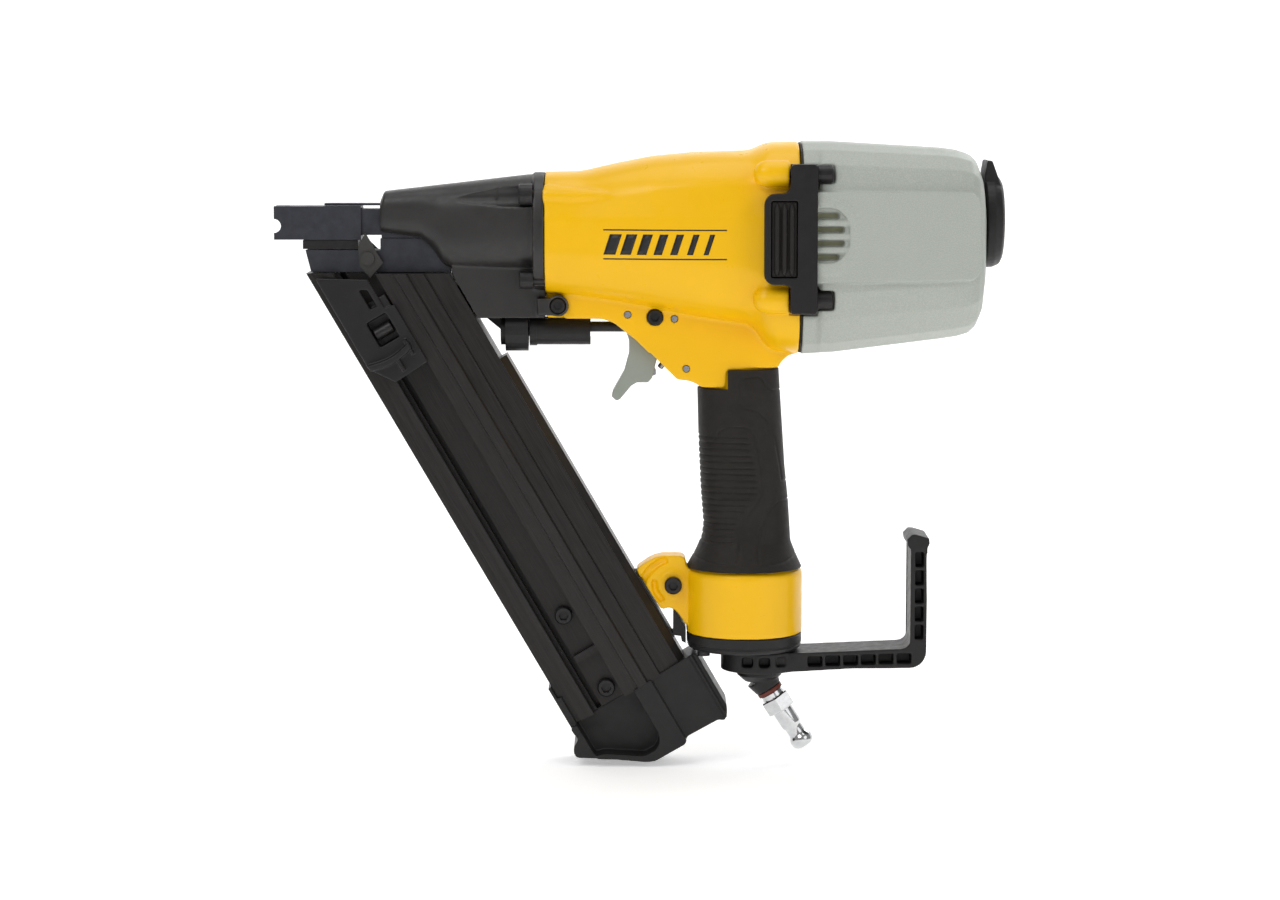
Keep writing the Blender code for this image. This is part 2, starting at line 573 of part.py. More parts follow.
# ---------------------------------------------------------------- trigger
def trigger_parts():
    px, pz = TRIGGER_PIVOT
    shape = prism(
        "trigger",
        arc(px, pz, 5.4, 170, 20, 6)
        + [(227.5, -62.0), (238.6, -79.2), (234.9, -93.6), (232.5, -96.2), (225.6, -96.2), (222.1, -98.3),
           (215.2, -106.6), (213.0, -107.5), (210.0, -104.9), (210.9, -101.4), (217.8, -89.2), (220.8, -78.0),
           (220.8, -70.2), (219.1, -65.0)],
        -7.4, 7.4, "grey_plastic", (px, 0, pz),
    )
    cut(
        shape,
        prism("trigger_hollow",
              [(206.0, -40.0), (206.0, -66.3), (221.6, -66.3), (223.6, -78.5), (220.8, -90.5), (224.5, -93.4),
               (250.0, -93.4), (250.0, -40.0)],
              -5.5, 5.5),
        rod("trigger_bore", (px, -30, pz), (px, 30, pz), 2.35, count=16),
    )
    rod("trigger_pin", (px, -17.4, pz), (px, 17.4, pz), 2.0, "steel", count=16)
    prism(
        "trip_lever",
        [(224.4, -66.6), (226.8, -65.8), (237.4, -89.0), (237.4, -91.6), (234.8, -92.6), (232.6, -90.6)],
        -3.4, 3.4, "steel", (235.6, 0, -90.6),
    )
    axis = Vector((0.6, 0, 0.8))
    start = Vector((243.3, 0, -83.0))
    lathe("trigger_valve_body", [(-1.6, 2.3), (-1.6, 5.0), (21.0, 5.0), (21.0, 2.3)], start, axis,
          "grey_plastic", hollow=True, count=24)
    lathe("trigger_valve_stem", [(-6.0, 1.4), (-5.4, 1.9), (19.0, 1.9)], start, axis, "steel", start, count=16)
    socket_screw("side_screw", (236.7, -18.6, -55.3), (0, 1, 0), 4.9, 4.0, 3.0, 7.0)
    rod("valve_pin_upper", (248.6, -17.6, -56.3), (248.6, -11.3, -56.3), 1.95, "steel", count=16)
    rod("valve_pin_lower", (255.9, -17.6, -86.9), (255.9, -11.3, -86.9), 1.95, "steel", count=16)
    socket_screw("ear_screw", (177.4, -20.8, -48.1), (0, 1, 0), 4.6, 2.4, 1.5, 4.4)


# ---------------------------------------------------------------- base of the handle
def base_parts():
    cap = lathe("end_cap", [(0, BASE_RADIUS - 0.4), (7.6, BASE_RADIUS - 0.6), (9.6, BASE_RADIUS - 2.4)],
                (BASE_X, 0, -252.5), (0, 0, -1), "black_plastic", count=48)
    cut(cap, rod("filter_port", (HOOK_X, 0, -240), (HOOK_X, 0, -270), 9.0, count=32))
    rod("end_cap_screw", (267.0, -14.0, -262.5), (267.0, -14.0, -265.4), 3.9, "dark_steel", count=20)
    bolt = socket_screw("bracket_bolt", (248.1, -15.0, -221.9), (0, 1, 0), 5.4, 4.6, 3.0, 30.0)
    nut = prism("bracket_nut", hexagon(248.1, -221.9, 11.6, 90), 10.4, 14.6, "steel")
    cut(nut, rod("nut_bore", (248.1, 0, -221.9), (248.1, 30, -221.9), 3.3, count=16))
    return bolt


def inlet_parts():
    tilt = math.radians(PLUG_TILT)
    axis = Vector((math.sin(tilt), 0, -math.cos(tilt)))
    start = Vector((PLUG_START[0], 0, PLUG_START[1]))
    boss = lathe("inlet_boss", [(0, 8.6), (13.2, 8.6), (13.2, 14.0), (16.6, 14.0), (21.0, 9.0)],
                 (HOOK_X, 0, -262.9), (0, 0, -1), "black_plastic")
    join(boss, lathe("inlet_spout", [(-8.0, 10.4), (-0.3, 8.4)], start, axis))
    cut(boss, lathe("inlet_bore", [(-24.0, 4.5), (4, 4.5)], start, axis, count=20),
        rod("inlet_upper_bore", (HOOK_X, 0, -255), (HOOK_X, 0, -276), 4.5, count=20))
    tube("thread_seal", start + axis * 0.1, start + axis * 2.5, 8.2, 6.3, "red_seal")
    plug = lathe(
        "air_plug",
        [(-6.0, 4.0), (-6.0, 2.6), (42.6, 2.6), (42.6, 5.2), (41.4, 6.6), (38.0, 7.2), (34.5, 6.6), (32.5, 5.4),
         (29.0, 5.4), (26.5, 6.4), (15.6, 6.5), (15.6, 7.2), (2.8, 7.2), (2.8, 6.0), (-0.2, 6.0), (-0.2, 4.0)],
        start, axis, "chrome", hollow=True, count=24,
    )
    join(plug, lathe("plug_hexagon", [(6.0, 7.0), (6.0, 10.0), (15.4, 10.0), (15.4, 7.0)], start, axis, count=6,
                     hollow=True))
    return plug


def hook():
    pivot = (HOOK_X, 0, -269.5)
    body = lathe("rafter_hook", [(0, 9.2), (0, 24.0), (12.6, 24.0), (12.6, 9.2)], (HOOK_X, 0, -263.2), (0, 0, -1),
                 "black_plastic", pivot, hollow=True, count=40)
    half = 17.5
    arm = prism(
        "hook_arm",
        [(318, -263.4), (329.5, -263.4), (389.8, -260.9)] + arc(390.6, -255.9, 5.0, 270, 360, 4)
        + [(395.2, -199.0), (392.6, -195.5), (392.2, -192.6), (395.4, -189.2), (398.4, -189.4), (406.2, -191.6),
           (406.4, -195.6), (404.4, -199.4)]
        + [(404.8, -230.0)] + arc(395.6, -261.0, 10.6, 0, -90, 5) + [(360, -273.2), (318, -275.6)],
        -half, half,
    )
    join(body, arm)
    pockets = []
    for i in range(5):
        x = 334.6 + 11.0 * i
        low = -271.6 + 0.035 * (x - 334.6)
        for side in (-1, 1):
            pockets.append(box(f"arm_pocket_{i}_{side}", (x, x + 9.0), tuple(sorted((side * 13.0, side * 30.0))),
                               (low, low + 6.4)))
    for i in range(5):
        top = -200.4 - 11.3 * i
        for side in (-1, 1):
            pockets.append(box(f"upright_pocket_{i}_{side}", (397.6, 402.6),
                               tuple(sorted((side * 13.0, side * 30.0))), (top - 9.3, top)))
    cut(body, *pockets)
    return body


# ---------------------------------------------------------------- magazine
def along(u, t):
    """A point of the magazine's side view: u across from the front edge, t down its length."""
    a = math.radians(MAGAZINE_TILT)
    x0, z0 = MAGAZINE_START
    return (x0 + u * math.cos(a) + t * math.sin(a), z0 + u * math.sin(a) - t * math.cos(a))


def slide_vector():
    a = math.radians(MAGAZINE_TILT)
    return Vector((math.sin(a), 0, -math.cos(a)))


def leaning(name, section, t0, t1, colour=None, origin=(0, 0, 0)):
    """A section of (u, y) pairs pushed down the magazine from t0 to t1."""
    rings = []
    for t in (t0, t1):
        ring = []
        for u, y in section:
            x, z = along(u, t)
            ring.append((x, y, z))
        rings.append(ring)
    return loft(name, rings, colour, origin)


def slab(name, corners, y0, y1, colour=None, origin=(0, 0, 0)):
    """A side-view outline given in (u, t), pushed along Y."""
    return prism(name, [along(u, t) for u, t in corners], y0, y1, colour, origin)


def magazine():
    rail = leaning("magazine_rail", [
        (0, -13.0), (5.2, -13.0), (5.4, -16.5), (10.6, -16.5), (10.9, -19.6), (14.8, -19.6), (14.8, -7.0),
        (16.8, -7.0), (16.8, -2.3), (3.2, -2.3), (3.2, 2.3), (72.6, 2.3), (72.6, -2.3), (20.2, -2.3),
        (20.2, -7.0), (37.0, -7.0), (37.0, -19.6), (46.4, -19.6), (46.8, -21.4), (53.1, -21.4), (54.2, -19.6),
        (62.3, -18.6), (63.0, -16.5), (MAGAZINE_WIDTH, -15.0), (MAGAZINE_WIDTH, 15.0), (62.0, 17.5), (8.0, 17.5),
        (0, 13.0),
    ], -60.0, MAGAZINE_END, "black_anodised")
    cut(rail, box("rail_top_cut", (-100, 200), (-60, 60), (-28.6, 60)))
    cut(rail, *[
        rod(f"magazine_bolt_bore_{i}", (x, -30, z), (x, 30, z), 3.3, count=16)
        for i, (x, z) in enumerate((along(28.8, 257.7), along(28.8, 310.3)))
    ])
    for name, t in (("magazine_bolt_upper", 257.7), ("magazine_bolt_lower", 310.3)):
        x, z = along(28.8, t)
        socket_screw(name, (x, -12.4, z), (0, 1, 0), 5.5, 5.0, 2.9, 34.0)
    join(
        rail,
        slab("magazine_crossbar", [(21.0, 283.0), (38.0, 283.0), (38.0, 287.5), (21.0, 287.5)], -12.0, -6.0),
        leaning("magazine_back_rib", [(75.5, -14.6), (80.4, -9.5), (80.4, 9.5), (75.5, 14.6)], 100.0, MAGAZINE_END),
    )
    cover = slab("magazine_end_cover", [
        (-2.6, 320.0), (-8.4, 330.3), (-11.2, 334.8), (-9.2, 340.1), (5.9, 350.1), (26.3, 363.7), (30.5, 365.2),
        (52.6, 365.3), (55.6, 362.0), (78.7, 363.9), (81.7, 365.6), (85.4, 361.1), (87.3, 319.8),
    ], -21.8, 18.4, "black_plastic")
    join(
        cover,
        slab("cover_lip_front", [(-2.2, 292.0), (-0.5, 292.0), (-0.7, 323.0), (-2.9, 325.0)], -16.0, 16.0),
    )
    cut(
        cover,
        slab("loading_mouth", [(3.3, 300.0), (72.5, 300.0), (72.5, 385.0), (3.3, 385.0)], -2.4, 2.4),
        slab("loading_recess", [(12.0, 333.0), (44.0, 333.0), (42.0, 356.0), (30.0, 358.5), (12.0, 347.5)],
             -40.0, -6.0),
    )
    travel_origin = (*along(20.0, 40.0), )
    start = (travel_origin[0], -22.0, travel_origin[1])
    pusher = slab("pusher", [(4.2, 0.6), (31.6, 17.4), (31.6, 37.5), (37.8, 38.4), (37.8, 78.8), (14.4, 80.0),
                             (4.0, 64.6)],
                  -23.6, -21.0, "black_anodised", start)
    join(
        pusher,
        slab("pusher_shoe", [(16.0, 30.0), (35.8, 30.0), (35.8, 76.0), (16.0, 76.0)], -22.0, -13.4),
        slab("pusher_tongue", [(17.3, 62.0), (19.7, 62.0), (19.7, 76.0), (17.3, 76.0)], -14.0, 0.0),
        slab("pusher_finger", [(4.6, 64.0), (70.0, 64.0), (70.0, 70.0), (4.6, 70.0)], -1.7, 1.7),
        slab("pusher_thumb_rest", [(5.2, 62.5), (34.2, 62.5), (34.2, 66.3), (5.2, 66.3)], -31.0, -23.0),
    )
    cut(
        pusher,
        slab("pusher_window", [(18.0, 42.0), (30.0, 42.0), (30.0, 56.0), (18.0, 56.0)], -40.0, -15.0),
    )
    x, z = along(24.0, 49.0)
    a = math.radians(MAGAZINE_TILT)
    across = Vector((math.cos(a), 0, math.sin(a)))
    centre = Vector((x, -19.6, z))
    tube("pusher_spring", centre - across * 5.6, centre + across * 5.6, 4.0, 1.4, "steel", start, 24)
    bracket = slab("magazine_bracket", [(80.6, 257.0), (81.4, 257.0), (81.4, 304.0), (80.6, 304.0)], -9.0, 9.0,
                   "black_paint")
    join(bracket, prism("bracket_web", [(247.2, -253.5), (248.2, -252.0), (248.2, -238.6), (250.7, -240.8),
                                        (256.0, -249.5), (256.0, -258.6), (253.5, -257.4), (252.9, -254.2)],
                        -9.0, 9.0))
    return rail


def main():
    clear_scene()
    nose()
    contact_parts()
    housing()
    grip()
    drive_parts()
    cap_parts()
    deflector()
    trigger_parts()
    base_parts()
    inlet_parts()
    hook()
    magazine()


main()
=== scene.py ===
"""Looks of the pneumatic nail gun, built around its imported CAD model.

Lengths are millimetres in the tool's own frame, as in the CAD source: X runs back along the drive
axis from the contact tip, Z is up and Y = 0 is the middle plane. place() turns a point into metres
of the shared frame.
"""

import json
import math

import bmesh
import bpy
import numpy as np
from mathutils import Matrix, Vector


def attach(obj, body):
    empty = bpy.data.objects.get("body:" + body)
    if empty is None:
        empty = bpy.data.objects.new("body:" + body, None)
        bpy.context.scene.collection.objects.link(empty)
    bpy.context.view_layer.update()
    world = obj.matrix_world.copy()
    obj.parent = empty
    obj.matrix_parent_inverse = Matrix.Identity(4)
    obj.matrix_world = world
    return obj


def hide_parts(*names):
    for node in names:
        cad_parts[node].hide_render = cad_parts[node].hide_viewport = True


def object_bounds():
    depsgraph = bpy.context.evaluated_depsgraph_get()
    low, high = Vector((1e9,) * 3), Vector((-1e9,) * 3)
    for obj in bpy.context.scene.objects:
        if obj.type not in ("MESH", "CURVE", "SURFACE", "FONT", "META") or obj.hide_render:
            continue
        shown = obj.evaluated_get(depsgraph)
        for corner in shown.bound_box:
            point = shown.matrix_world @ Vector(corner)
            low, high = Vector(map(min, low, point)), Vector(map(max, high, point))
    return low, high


MM = 0.001
CENTRE = Vector((226.7, 0.0, -141.05))     # the tool-frame point at the shared frame's origin
SIDES = ((-1, "near"), (1, "far"))

# Driving sizes, which repeat the CAD source's.
HOUSING_REAR, CAP_FRONT, CAP_REAR = 324.2, 325.9, 437.5
MAGAZINE_TILT = math.radians(30.2)
MAGAZINE_START = (25.6, -32.8)
BASE_X, BASE_RADIUS = 292.4, 36.0
HOOK_X, HOOK_HALF = 302.0, 17.5
PLUG_START, PLUG_TILT = (307.9, -288.6), math.radians(32.5)
TRIGGER_PIVOT = (220.0, -53.7)
SIDE_SCREW, UPPER_PIN, LOWER_PIN = (236.7, -55.3), (248.6, -56.3), (255.9, -86.9)     # (x, z)
EAR_SCREW = (177.4, -48.1)
DEPTH_Z = -65.1
SCREW_Y, CAP_SCREW_Z = 51.0, (33.3, -42.6)
NOSE_SCREWS = ((20.0, 26.0), (-32.0, 23.0))     # (z, y) of the flange screws

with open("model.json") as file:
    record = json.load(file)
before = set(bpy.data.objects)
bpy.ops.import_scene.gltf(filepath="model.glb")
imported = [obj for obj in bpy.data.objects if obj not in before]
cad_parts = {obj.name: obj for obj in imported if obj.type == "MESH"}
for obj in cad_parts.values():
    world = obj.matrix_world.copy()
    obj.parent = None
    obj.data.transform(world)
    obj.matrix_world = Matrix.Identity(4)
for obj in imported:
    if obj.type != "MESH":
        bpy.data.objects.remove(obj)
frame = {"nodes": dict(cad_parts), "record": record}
cad_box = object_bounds()


# ---------------------------------------------------------------- mesh building blocks
def place(point):
    return (Vector(point) - CENTRE) * MM


def solid(name, points, faces):
    shape = bmesh.new()
    corners = [shape.verts.new(place(p)) for p in points]
    for face in faces:
        shape.faces.new([corners[i] for i in face])
    bmesh.ops.triangulate(shape, faces=[f for f in shape.faces if len(f.verts) > 4])
    bmesh.ops.recalc_face_normals(shape, faces=shape.faces)
    if shape.calc_volume(signed=True) < 0:
        bmesh.ops.reverse_faces(shape, faces=shape.faces)
    data = bpy.data.meshes.new(name)
    shape.to_mesh(data)
    shape.free()
    return link(name, data)


def link(name, data):
    obj = bpy.data.objects.new(name, data)
    bpy.context.scene.collection.objects.link(obj)
    return obj


def loft(name, sections, ring=False):
    """Skin over closed sections of equal count; ring=True joins the last section to the first."""
    n, m = len(sections[0]), len(sections)
    points = [p for section in sections for p in section]
    faces = []
    for j in range(m if ring else m - 1):
        k = (j + 1) % m
        faces += [(j * n + i, j * n + (i + 1) % n, k * n + (i + 1) % n, k * n + i) for i in range(n)]
    if not ring:
        faces += [tuple(range(n)), tuple(range((m - 1) * n, m * n))]
    return solid(name, points, faces)


def prism(name, outline, low, high, axis="Y"):
    """A flat outline pushed along an axis. Outline pairs are XZ for Y, YZ for X and XY for Z."""
    spot = {
        "Y": lambda a, b, h: (a, h, b),
        "X": lambda a, b, h: (h, a, b),
        "Z": lambda a, b, h: (a, b, h),
    }[axis]
    return loft(name, [[spot(a, b, h) for a, b in outline] for h in (low, high)])


def box(name, x, y, z):
    return prism(name, [(x[0], z[0]), (x[1], z[0]), (x[1], z[1]), (x[0], z[1])], min(y), max(y))


def sideways(side, near, far):
    """A Y range on one side of the middle plane."""
    return tuple(sorted((side * near, side * far)))


def lathe(name, profile, base, direction, count=64, hollow=False, shape=None):
    """Profile pairs are (distance along the axis, radius). shape(angle, s) scales the radius."""
    base, axis = Vector(base), Vector(direction).normalized()
    side = axis.cross(Vector((0, 1, 0)) if abs(axis.y) < 0.9 else Vector((1, 0, 0))).normalized()
    other = axis.cross(side)
    rings = []
    for s, r in profile:
        ring = []
        for i in range(count):
            a = 2 * math.pi * (i + 0.5) / count
            reach = r * (shape(a, s) if shape else 1.0)
            ring.append(base + axis * s + (side * math.cos(a) + other * math.sin(a)) * reach)
        rings.append(ring)
    return loft(name, rings, ring=hollow)


def rod(name, start, end, radius, count=48, tip=None):
    length = (Vector(end) - Vector(start)).length
    ends = [(0, radius), (length, radius if tip is None else tip)]
    return lathe(name, ends, start, Vector(end) - Vector(start), count)


def crosswise(name, spot, low, high, radius):
    """A rod along Y through a point (x, z) of the side view."""
    return rod(name, (spot[0], low, spot[1]), (spot[0], high, spot[1]), radius)


def arc(cx, cy, radius, start, end, count=8):
    """Points of an arc in degrees, both ends included."""
    turns = [math.radians(start + (end - start) * i / count) for i in range(count + 1)]
    return [(cx + radius * math.cos(t), cy + radius * math.sin(t)) for t in turns]


def rounded(corners, radius, count=5):
    """The outline with each corner replaced by an arc-like curve of about that radius."""
    out = []
    n = len(corners)
    for i in range(n):
        before, here, after = (Vector(corners[(i + k) % n]) for k in (-1, 0, 1))
        back, on = before - here, after - here
        reach = min(radius, back.length * 0.45, on.length * 0.45)
        start, end = here + back.normalized() * reach, here + on.normalized() * reach
        for k in range(count + 1):
            t = k / count
            out.append(tuple(start * (1 - t) ** 2 + here * (2 * t * (1 - t)) + end * t * t))
    return out


def tool_copy(node, name):
    """A new object with a copy of a CAD node's mesh, to carve and soften."""
    data = frame["nodes"][node].data.copy()
    data.materials.clear()
    return link(name, data)


def bake(obj):
    """Applies the object's modifiers."""
    graph = bpy.context.evaluated_depsgraph_get()
    made = bpy.data.meshes.new_from_object(obj.evaluated_get(graph))
    obj.modifiers.clear()
    obj.data = made
    return obj


def carve(obj, add=(), cut=()):
    """Adds and cuts closed tools, which are used up."""
    for operation, tools in (("UNION", add), ("DIFFERENCE", cut)):
        for tool in tools:
            step = obj.modifiers.new(tool.name, "BOOLEAN")
            step.operation = operation
            step.solver = "MANIFOLD"
            step.object = tool
    bake(obj)
    for tool in (*add, *cut):
        bpy.data.objects.remove(tool)
    return obj


def soften(obj, voxel, passes, strength=0.5):
    """Remeshes a solid on a fine grid and smooths it, which rounds its edges like a casting's."""
    grid = obj.modifiers.new("grid", "REMESH")
    grid.mode = "VOXEL"
    grid.voxel_size = voxel * MM
    ease = obj.modifiers.new("ease", "SMOOTH")
    ease.factor = strength
    ease.iterations = passes
    bake(obj)
    obj.data.shade_smooth()
    return obj


def crisp(obj, width, segments=3, angle=28.0, edge_slot=True):
    """Merges flat triangles, then rounds the sharp edges a little; the roundings take slot 1, which on some
    finishes has a lighter colour that is partly worn edge and partly painted highlight.
    """
    flat = obj.modifiers.new("flat", "DECIMATE")
    flat.decimate_type = "DISSOLVE"
    flat.angle_limit = math.radians(0.6)
    edge = obj.modifiers.new("edges", "BEVEL")
    edge.width = width * MM
    edge.segments = segments
    edge.limit_method = "ANGLE"
    edge.angle_limit = math.radians(angle)
    edge.harden_normals = True
    edge.use_clamp_overlap = True
    if edge_slot:
        edge.material = 1
    obj.data.shade_smooth()
    return obj


def dress(obj, body, finish, nodes=(), edge=None):
    """Gives a new piece its finish, the body it rides on and the CAD nodes that it stands for."""
    obj.data.materials.clear()
    obj.data.materials.append(finish)
    if edge:
        obj.data.materials.append(edge)
    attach(obj, body)
    if nodes:
        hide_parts(*nodes)
    return obj


# ---------------------------------------------------------------- materials
def socket(node, name):
    return next(s for s in node.inputs if s.name == name and s.enabled)


class Shader:
    """A material's node tree with short calls for the nodes that the finishes use."""

    def __init__(self, name):
        self.material = bpy.data.materials.new(name)
        self.material.use_nodes = True
        self.tree = self.material.node_tree
        self.out = self.tree.nodes["Principled BSDF"]

    def node(self, kind, **settings):
        made = self.tree.nodes.new(kind)
        for key, value in settings.items():
            setattr(made, key, value)
        return made

    def feed(self, node, name, source):
        """Links an output to a named input, or sets the input's value."""
        place_in = socket(node, name)
        if isinstance(source, bpy.types.NodeSocket):
            self.tree.links.new(source, place_in)
        else:
            place_in.default_value = source

    def coordinates(self, turn=(0, 0, 0), stretch=(1, 1, 1)):
        coordinate = self.node("ShaderNodeTexCoord").outputs["Object"]
        if turn == (0, 0, 0) and stretch == (1, 1, 1):
            return coordinate
        mapping = self.node("ShaderNodeMapping", vector_type="TEXTURE")
        self.feed(mapping, "Vector", coordinate)
        self.feed(mapping, "Rotation", turn)
        self.feed(mapping, "Scale", stretch)
        return mapping.outputs["Vector"]

    def noise(self, vector, size, detail=3.0, rough=0.55):
        """Noise whose features are about size millimetres across."""
        made = self.node("ShaderNodeTexNoise")
        self.feed(made, "Vector", vector)
        self.feed(made, "Scale", 1.0 / (size * MM))
        self.feed(made, "Detail", detail)
        self.feed(made, "Roughness", rough)
        return made.outputs["Fac"]

    def spread(self, source, low, high, to_low=0.0, to_high=1.0):
        made = self.node("ShaderNodeMapRange")
        for name, value in zip(("Value", "From Min", "From Max", "To Min", "To Max"),
                               (source, low, high, to_low, to_high)):
            self.feed(made, name, value)
        return made.outputs["Result"]

    def blend(self, factor, first, second):
        made = self.node("ShaderNodeMix", data_type="RGBA")
        self.feed(made, "Factor", factor)
        self.feed(made, "A", first)
        self.feed(made, "B", second)
        return next(o for o in made.outputs if o.enabled)

    def maths(self, operation, first, second):
        made = self.node("ShaderNodeMath", operation=operation)
        for place_in, value in zip(made.inputs, (first, second)):
            if isinstance(value, bpy.types.NodeSocket):
                self.tree.links.new(value, place_in)
            else:
                place_in.default_value = value
        return made.outputs[0]

    def bump(self, height, depth, before=None):
        """A bump whose height is depth millimetres."""
        made = self.node("ShaderNodeBump")
        self.feed(made, "Height", height)
        self.feed(made, "Distance", depth * MM)
        self.feed(made, "Strength", 1.0)
        if before:
            self.feed(made, "Normal", before)
        return made.outputs["Normal"]


def tint(colour, factor):
    return tuple(min(1.0, c * factor) for c in colour[:3]) + (1.0,)


def srgb(red, green, blue):
    """A linear colour from 8-bit display values."""
    return tuple((v / 255 / 12.92 if v / 255 <= 0.04045 else ((v / 255 + 0.055) / 1.055) ** 2.4)
                 for v in (red, green, blue)) + (1.0,)


def surface(name, colour, metal=0.0, rough=0.4, rough_spread=0.07, patch=14.0, patch_tint=0.93,
            grain=0.6, grain_depth=0.01, peel=0.0, speckle=None, wear=None, wear_rough=0.3,
            brushed=None, coat=0.0, specular=0.5):
    """A procedural finish: uneven tone, fine grain, optional specks, brushing and worn edges."""
    shader = Shader(name)
    plain = shader.coordinates()
    patches = shader.noise(plain, patch)
    tone = shader.blend(shader.spread(patches, 0.35, 0.65), colour, tint(colour, patch_tint))
    grains = shader.noise(plain, grain, detail=2.0)
    if speckle:
        tone = shader.blend(shader.spread(grains, 0.42, 0.62), tone, speckle)
    rough_map = shader.spread(shader.noise(plain, patch * 0.3), 0.3, 0.7, rough - rough_spread,
                              rough + rough_spread)
    normal = shader.bump(grains, grain_depth)
    if peel:
        normal = shader.bump(shader.noise(plain, 2.4, detail=1.0), peel, normal)
    if brushed:
        lines = shader.noise(shader.coordinates(turn=brushed, stretch=(1, 1, 60)), 0.35, detail=3.0)
        tone = shader.blend(shader.spread(lines, 0.35, 0.7), tone, tint(colour, 1.9))
        rough_map = shader.spread(lines, 0.3, 0.7, rough - 0.08, rough + 0.1)
        normal = shader.bump(lines, 0.006, normal)
    if wear:
        edges = shader.node("ShaderNodeNewGeometry").outputs["Pointiness"]
        chipped = shader.maths("MULTIPLY", shader.spread(edges, 0.53, 0.58),
                               shader.spread(shader.noise(plain, 3.5), 0.42, 0.6))
        tone = shader.blend(chipped, tone, wear)
        roughened = shader.spread(chipped, 0.0, 1.0, 0.0, wear_rough - rough)
        rough_map = shader.maths("ADD", rough_map, roughened)
    shader.feed(shader.out, "Base Color", tone)
    shader.feed(shader.out, "Roughness", rough_map)
    shader.feed(shader.out, "Normal", normal)
    shader.feed(shader.out, "Metallic", metal)
    shader.feed(shader.out, "Specular IOR Level", specular)
    shader.feed(shader.out, "Coat Weight", coat)
    shader.feed(shader.out, "Coat Roughness", 0.15)
    return shader.material


RAIL_TURN = (0.0, -MAGAZINE_TILT, 0.0)
FINISH = {
    "yellow": surface("yellow_enamel", (0.95, 0.53, 0.0, 1), rough=0.34, peel=0.012, patch=30,
                      patch_tint=0.97, grain_depth=0.004, coat=0.08, specular=0.32),
    "cap": surface("speckled_grey_green", srgb(168, 173, 165), rough=0.5, speckle=srgb(180, 185, 177),
                   grain=0.6, grain_depth=0.02, patch_tint=0.96),
    "cast_black": surface("cast_black_enamel", srgb(40, 38, 37), rough=0.42, peel=0.02,
                          wear=srgb(120, 112, 105), patch_tint=0.8, grain_depth=0.012),
    "bracket_black": surface("bracket_black_enamel", srgb(32, 30, 31), rough=0.38, peel=0.02,
                             patch_tint=0.85, grain_depth=0.012, specular=0.32),
    "plastic": surface("moulded_black_plastic", srgb(36, 35, 35), rough=0.44, grain=0.35,
                       grain_depth=0.014, patch_tint=0.86, specular=0.28),
    "rubber": surface("moulded_rubber", srgb(37, 34, 32), rough=0.58, grain=0.28, grain_depth=0.025,
                      patch_tint=0.84, specular=0.25),
    "anodised": surface("black_anodised_aluminium", srgb(36, 34, 33), metal=0.25, rough=0.36,
                        brushed=RAIL_TURN, patch_tint=0.85, grain_depth=0.004, specular=0.3),
    # Edge finish: a lighter colour on the rounded edges, partly worn metal and partly painted highlight
    # lines.
    "anodised_worn_edge_highlight": surface("anodised_worn_edge_highlight", srgb(160, 156, 152), metal=0.5, rough=0.36, grain=0.3),
    "gunmetal": surface("phosphated_steel", srgb(58, 59, 66), metal=0.4, rough=0.42, patch=5,
                        patch_tint=0.78, grain_depth=0.012),
    # Edge finish: a lighter colour on the rounded edges, partly worn metal and partly painted highlight
    # lines.
    "gunmetal_worn_edge_highlight": surface("phosphated_worn_edge_highlight", srgb(96, 97, 104), metal=0.6, rough=0.36, grain=0.4),
    "plate_steel": surface("blacked_plate_steel", srgb(60, 59, 57), metal=0.3, rough=0.5, patch=6,
                           patch_tint=0.85, grain_depth=0.008),
    "dark_steel": surface("blackened_steel", srgb(40, 38, 38), metal=0.4, rough=0.38, patch=4,
                          patch_tint=0.75, grain_depth=0.01),
    # Edge finish: a lighter colour on the rounded edges, partly worn metal and partly painted highlight
    # lines.
    "dark_worn_edge_highlight": surface("blackened_worn_edge_highlight", srgb(74, 72, 72), metal=0.7, rough=0.32, grain=0.4),
    "steel": surface("ground_steel", srgb(168, 168, 170), metal=1.0, rough=0.3, patch=5, grain=0.3),
    "aluminium": surface("turned_aluminium", srgb(205, 206, 208), metal=1.0, rough=0.34, grain=0.25),
    "chrome": surface("nickel_plate", srgb(214, 215, 216), metal=1.0, rough=0.13, rough_spread=0.05,
                      patch=4, patch_tint=0.9, grain_depth=0.001),
    "grey_plastic": surface("grey_green_plastic", srgb(150, 156, 147), rough=0.42, grain=0.5,
                            grain_depth=0.012, patch_tint=0.94),
    "seal": surface("thread_sealant", srgb(124, 52, 36), rough=0.5, patch=2, patch_tint=0.7,
                    grain=0.4, grain_depth=0.03),
    "filter": surface("filter_mesh", srgb(148, 147, 120), rough=0.7, grain=0.5, grain_depth=0.05),
    "print": surface("printed_black", srgb(24, 23, 22), rough=0.45, grain=0.3),
}

CAD_FINISH = {
    "yellow_paint": "yellow", "black_paint": "cast_black", "grey_green_paint": "cap",
    "black_anodised": "anodised", "steel": "steel", "dark_steel": "dark_steel", "chrome": "chrome",
    "aluminium": "aluminium", "rubber": "rubber", "black_plastic": "plastic",
    "grey_plastic": "grey_plastic", "red_seal": "seal",
}
# Finishes whose rounded edges take a lighter colour, partly wear and partly painted highlight.
EDGE_WEAR_AND_HIGHLIGHT_FINISH = {"anodised": "anodised_worn_edge_highlight", "dark_steel": "dark_worn_edge_highlight", "gunmetal": "gunmetal_worn_edge_highlight"}


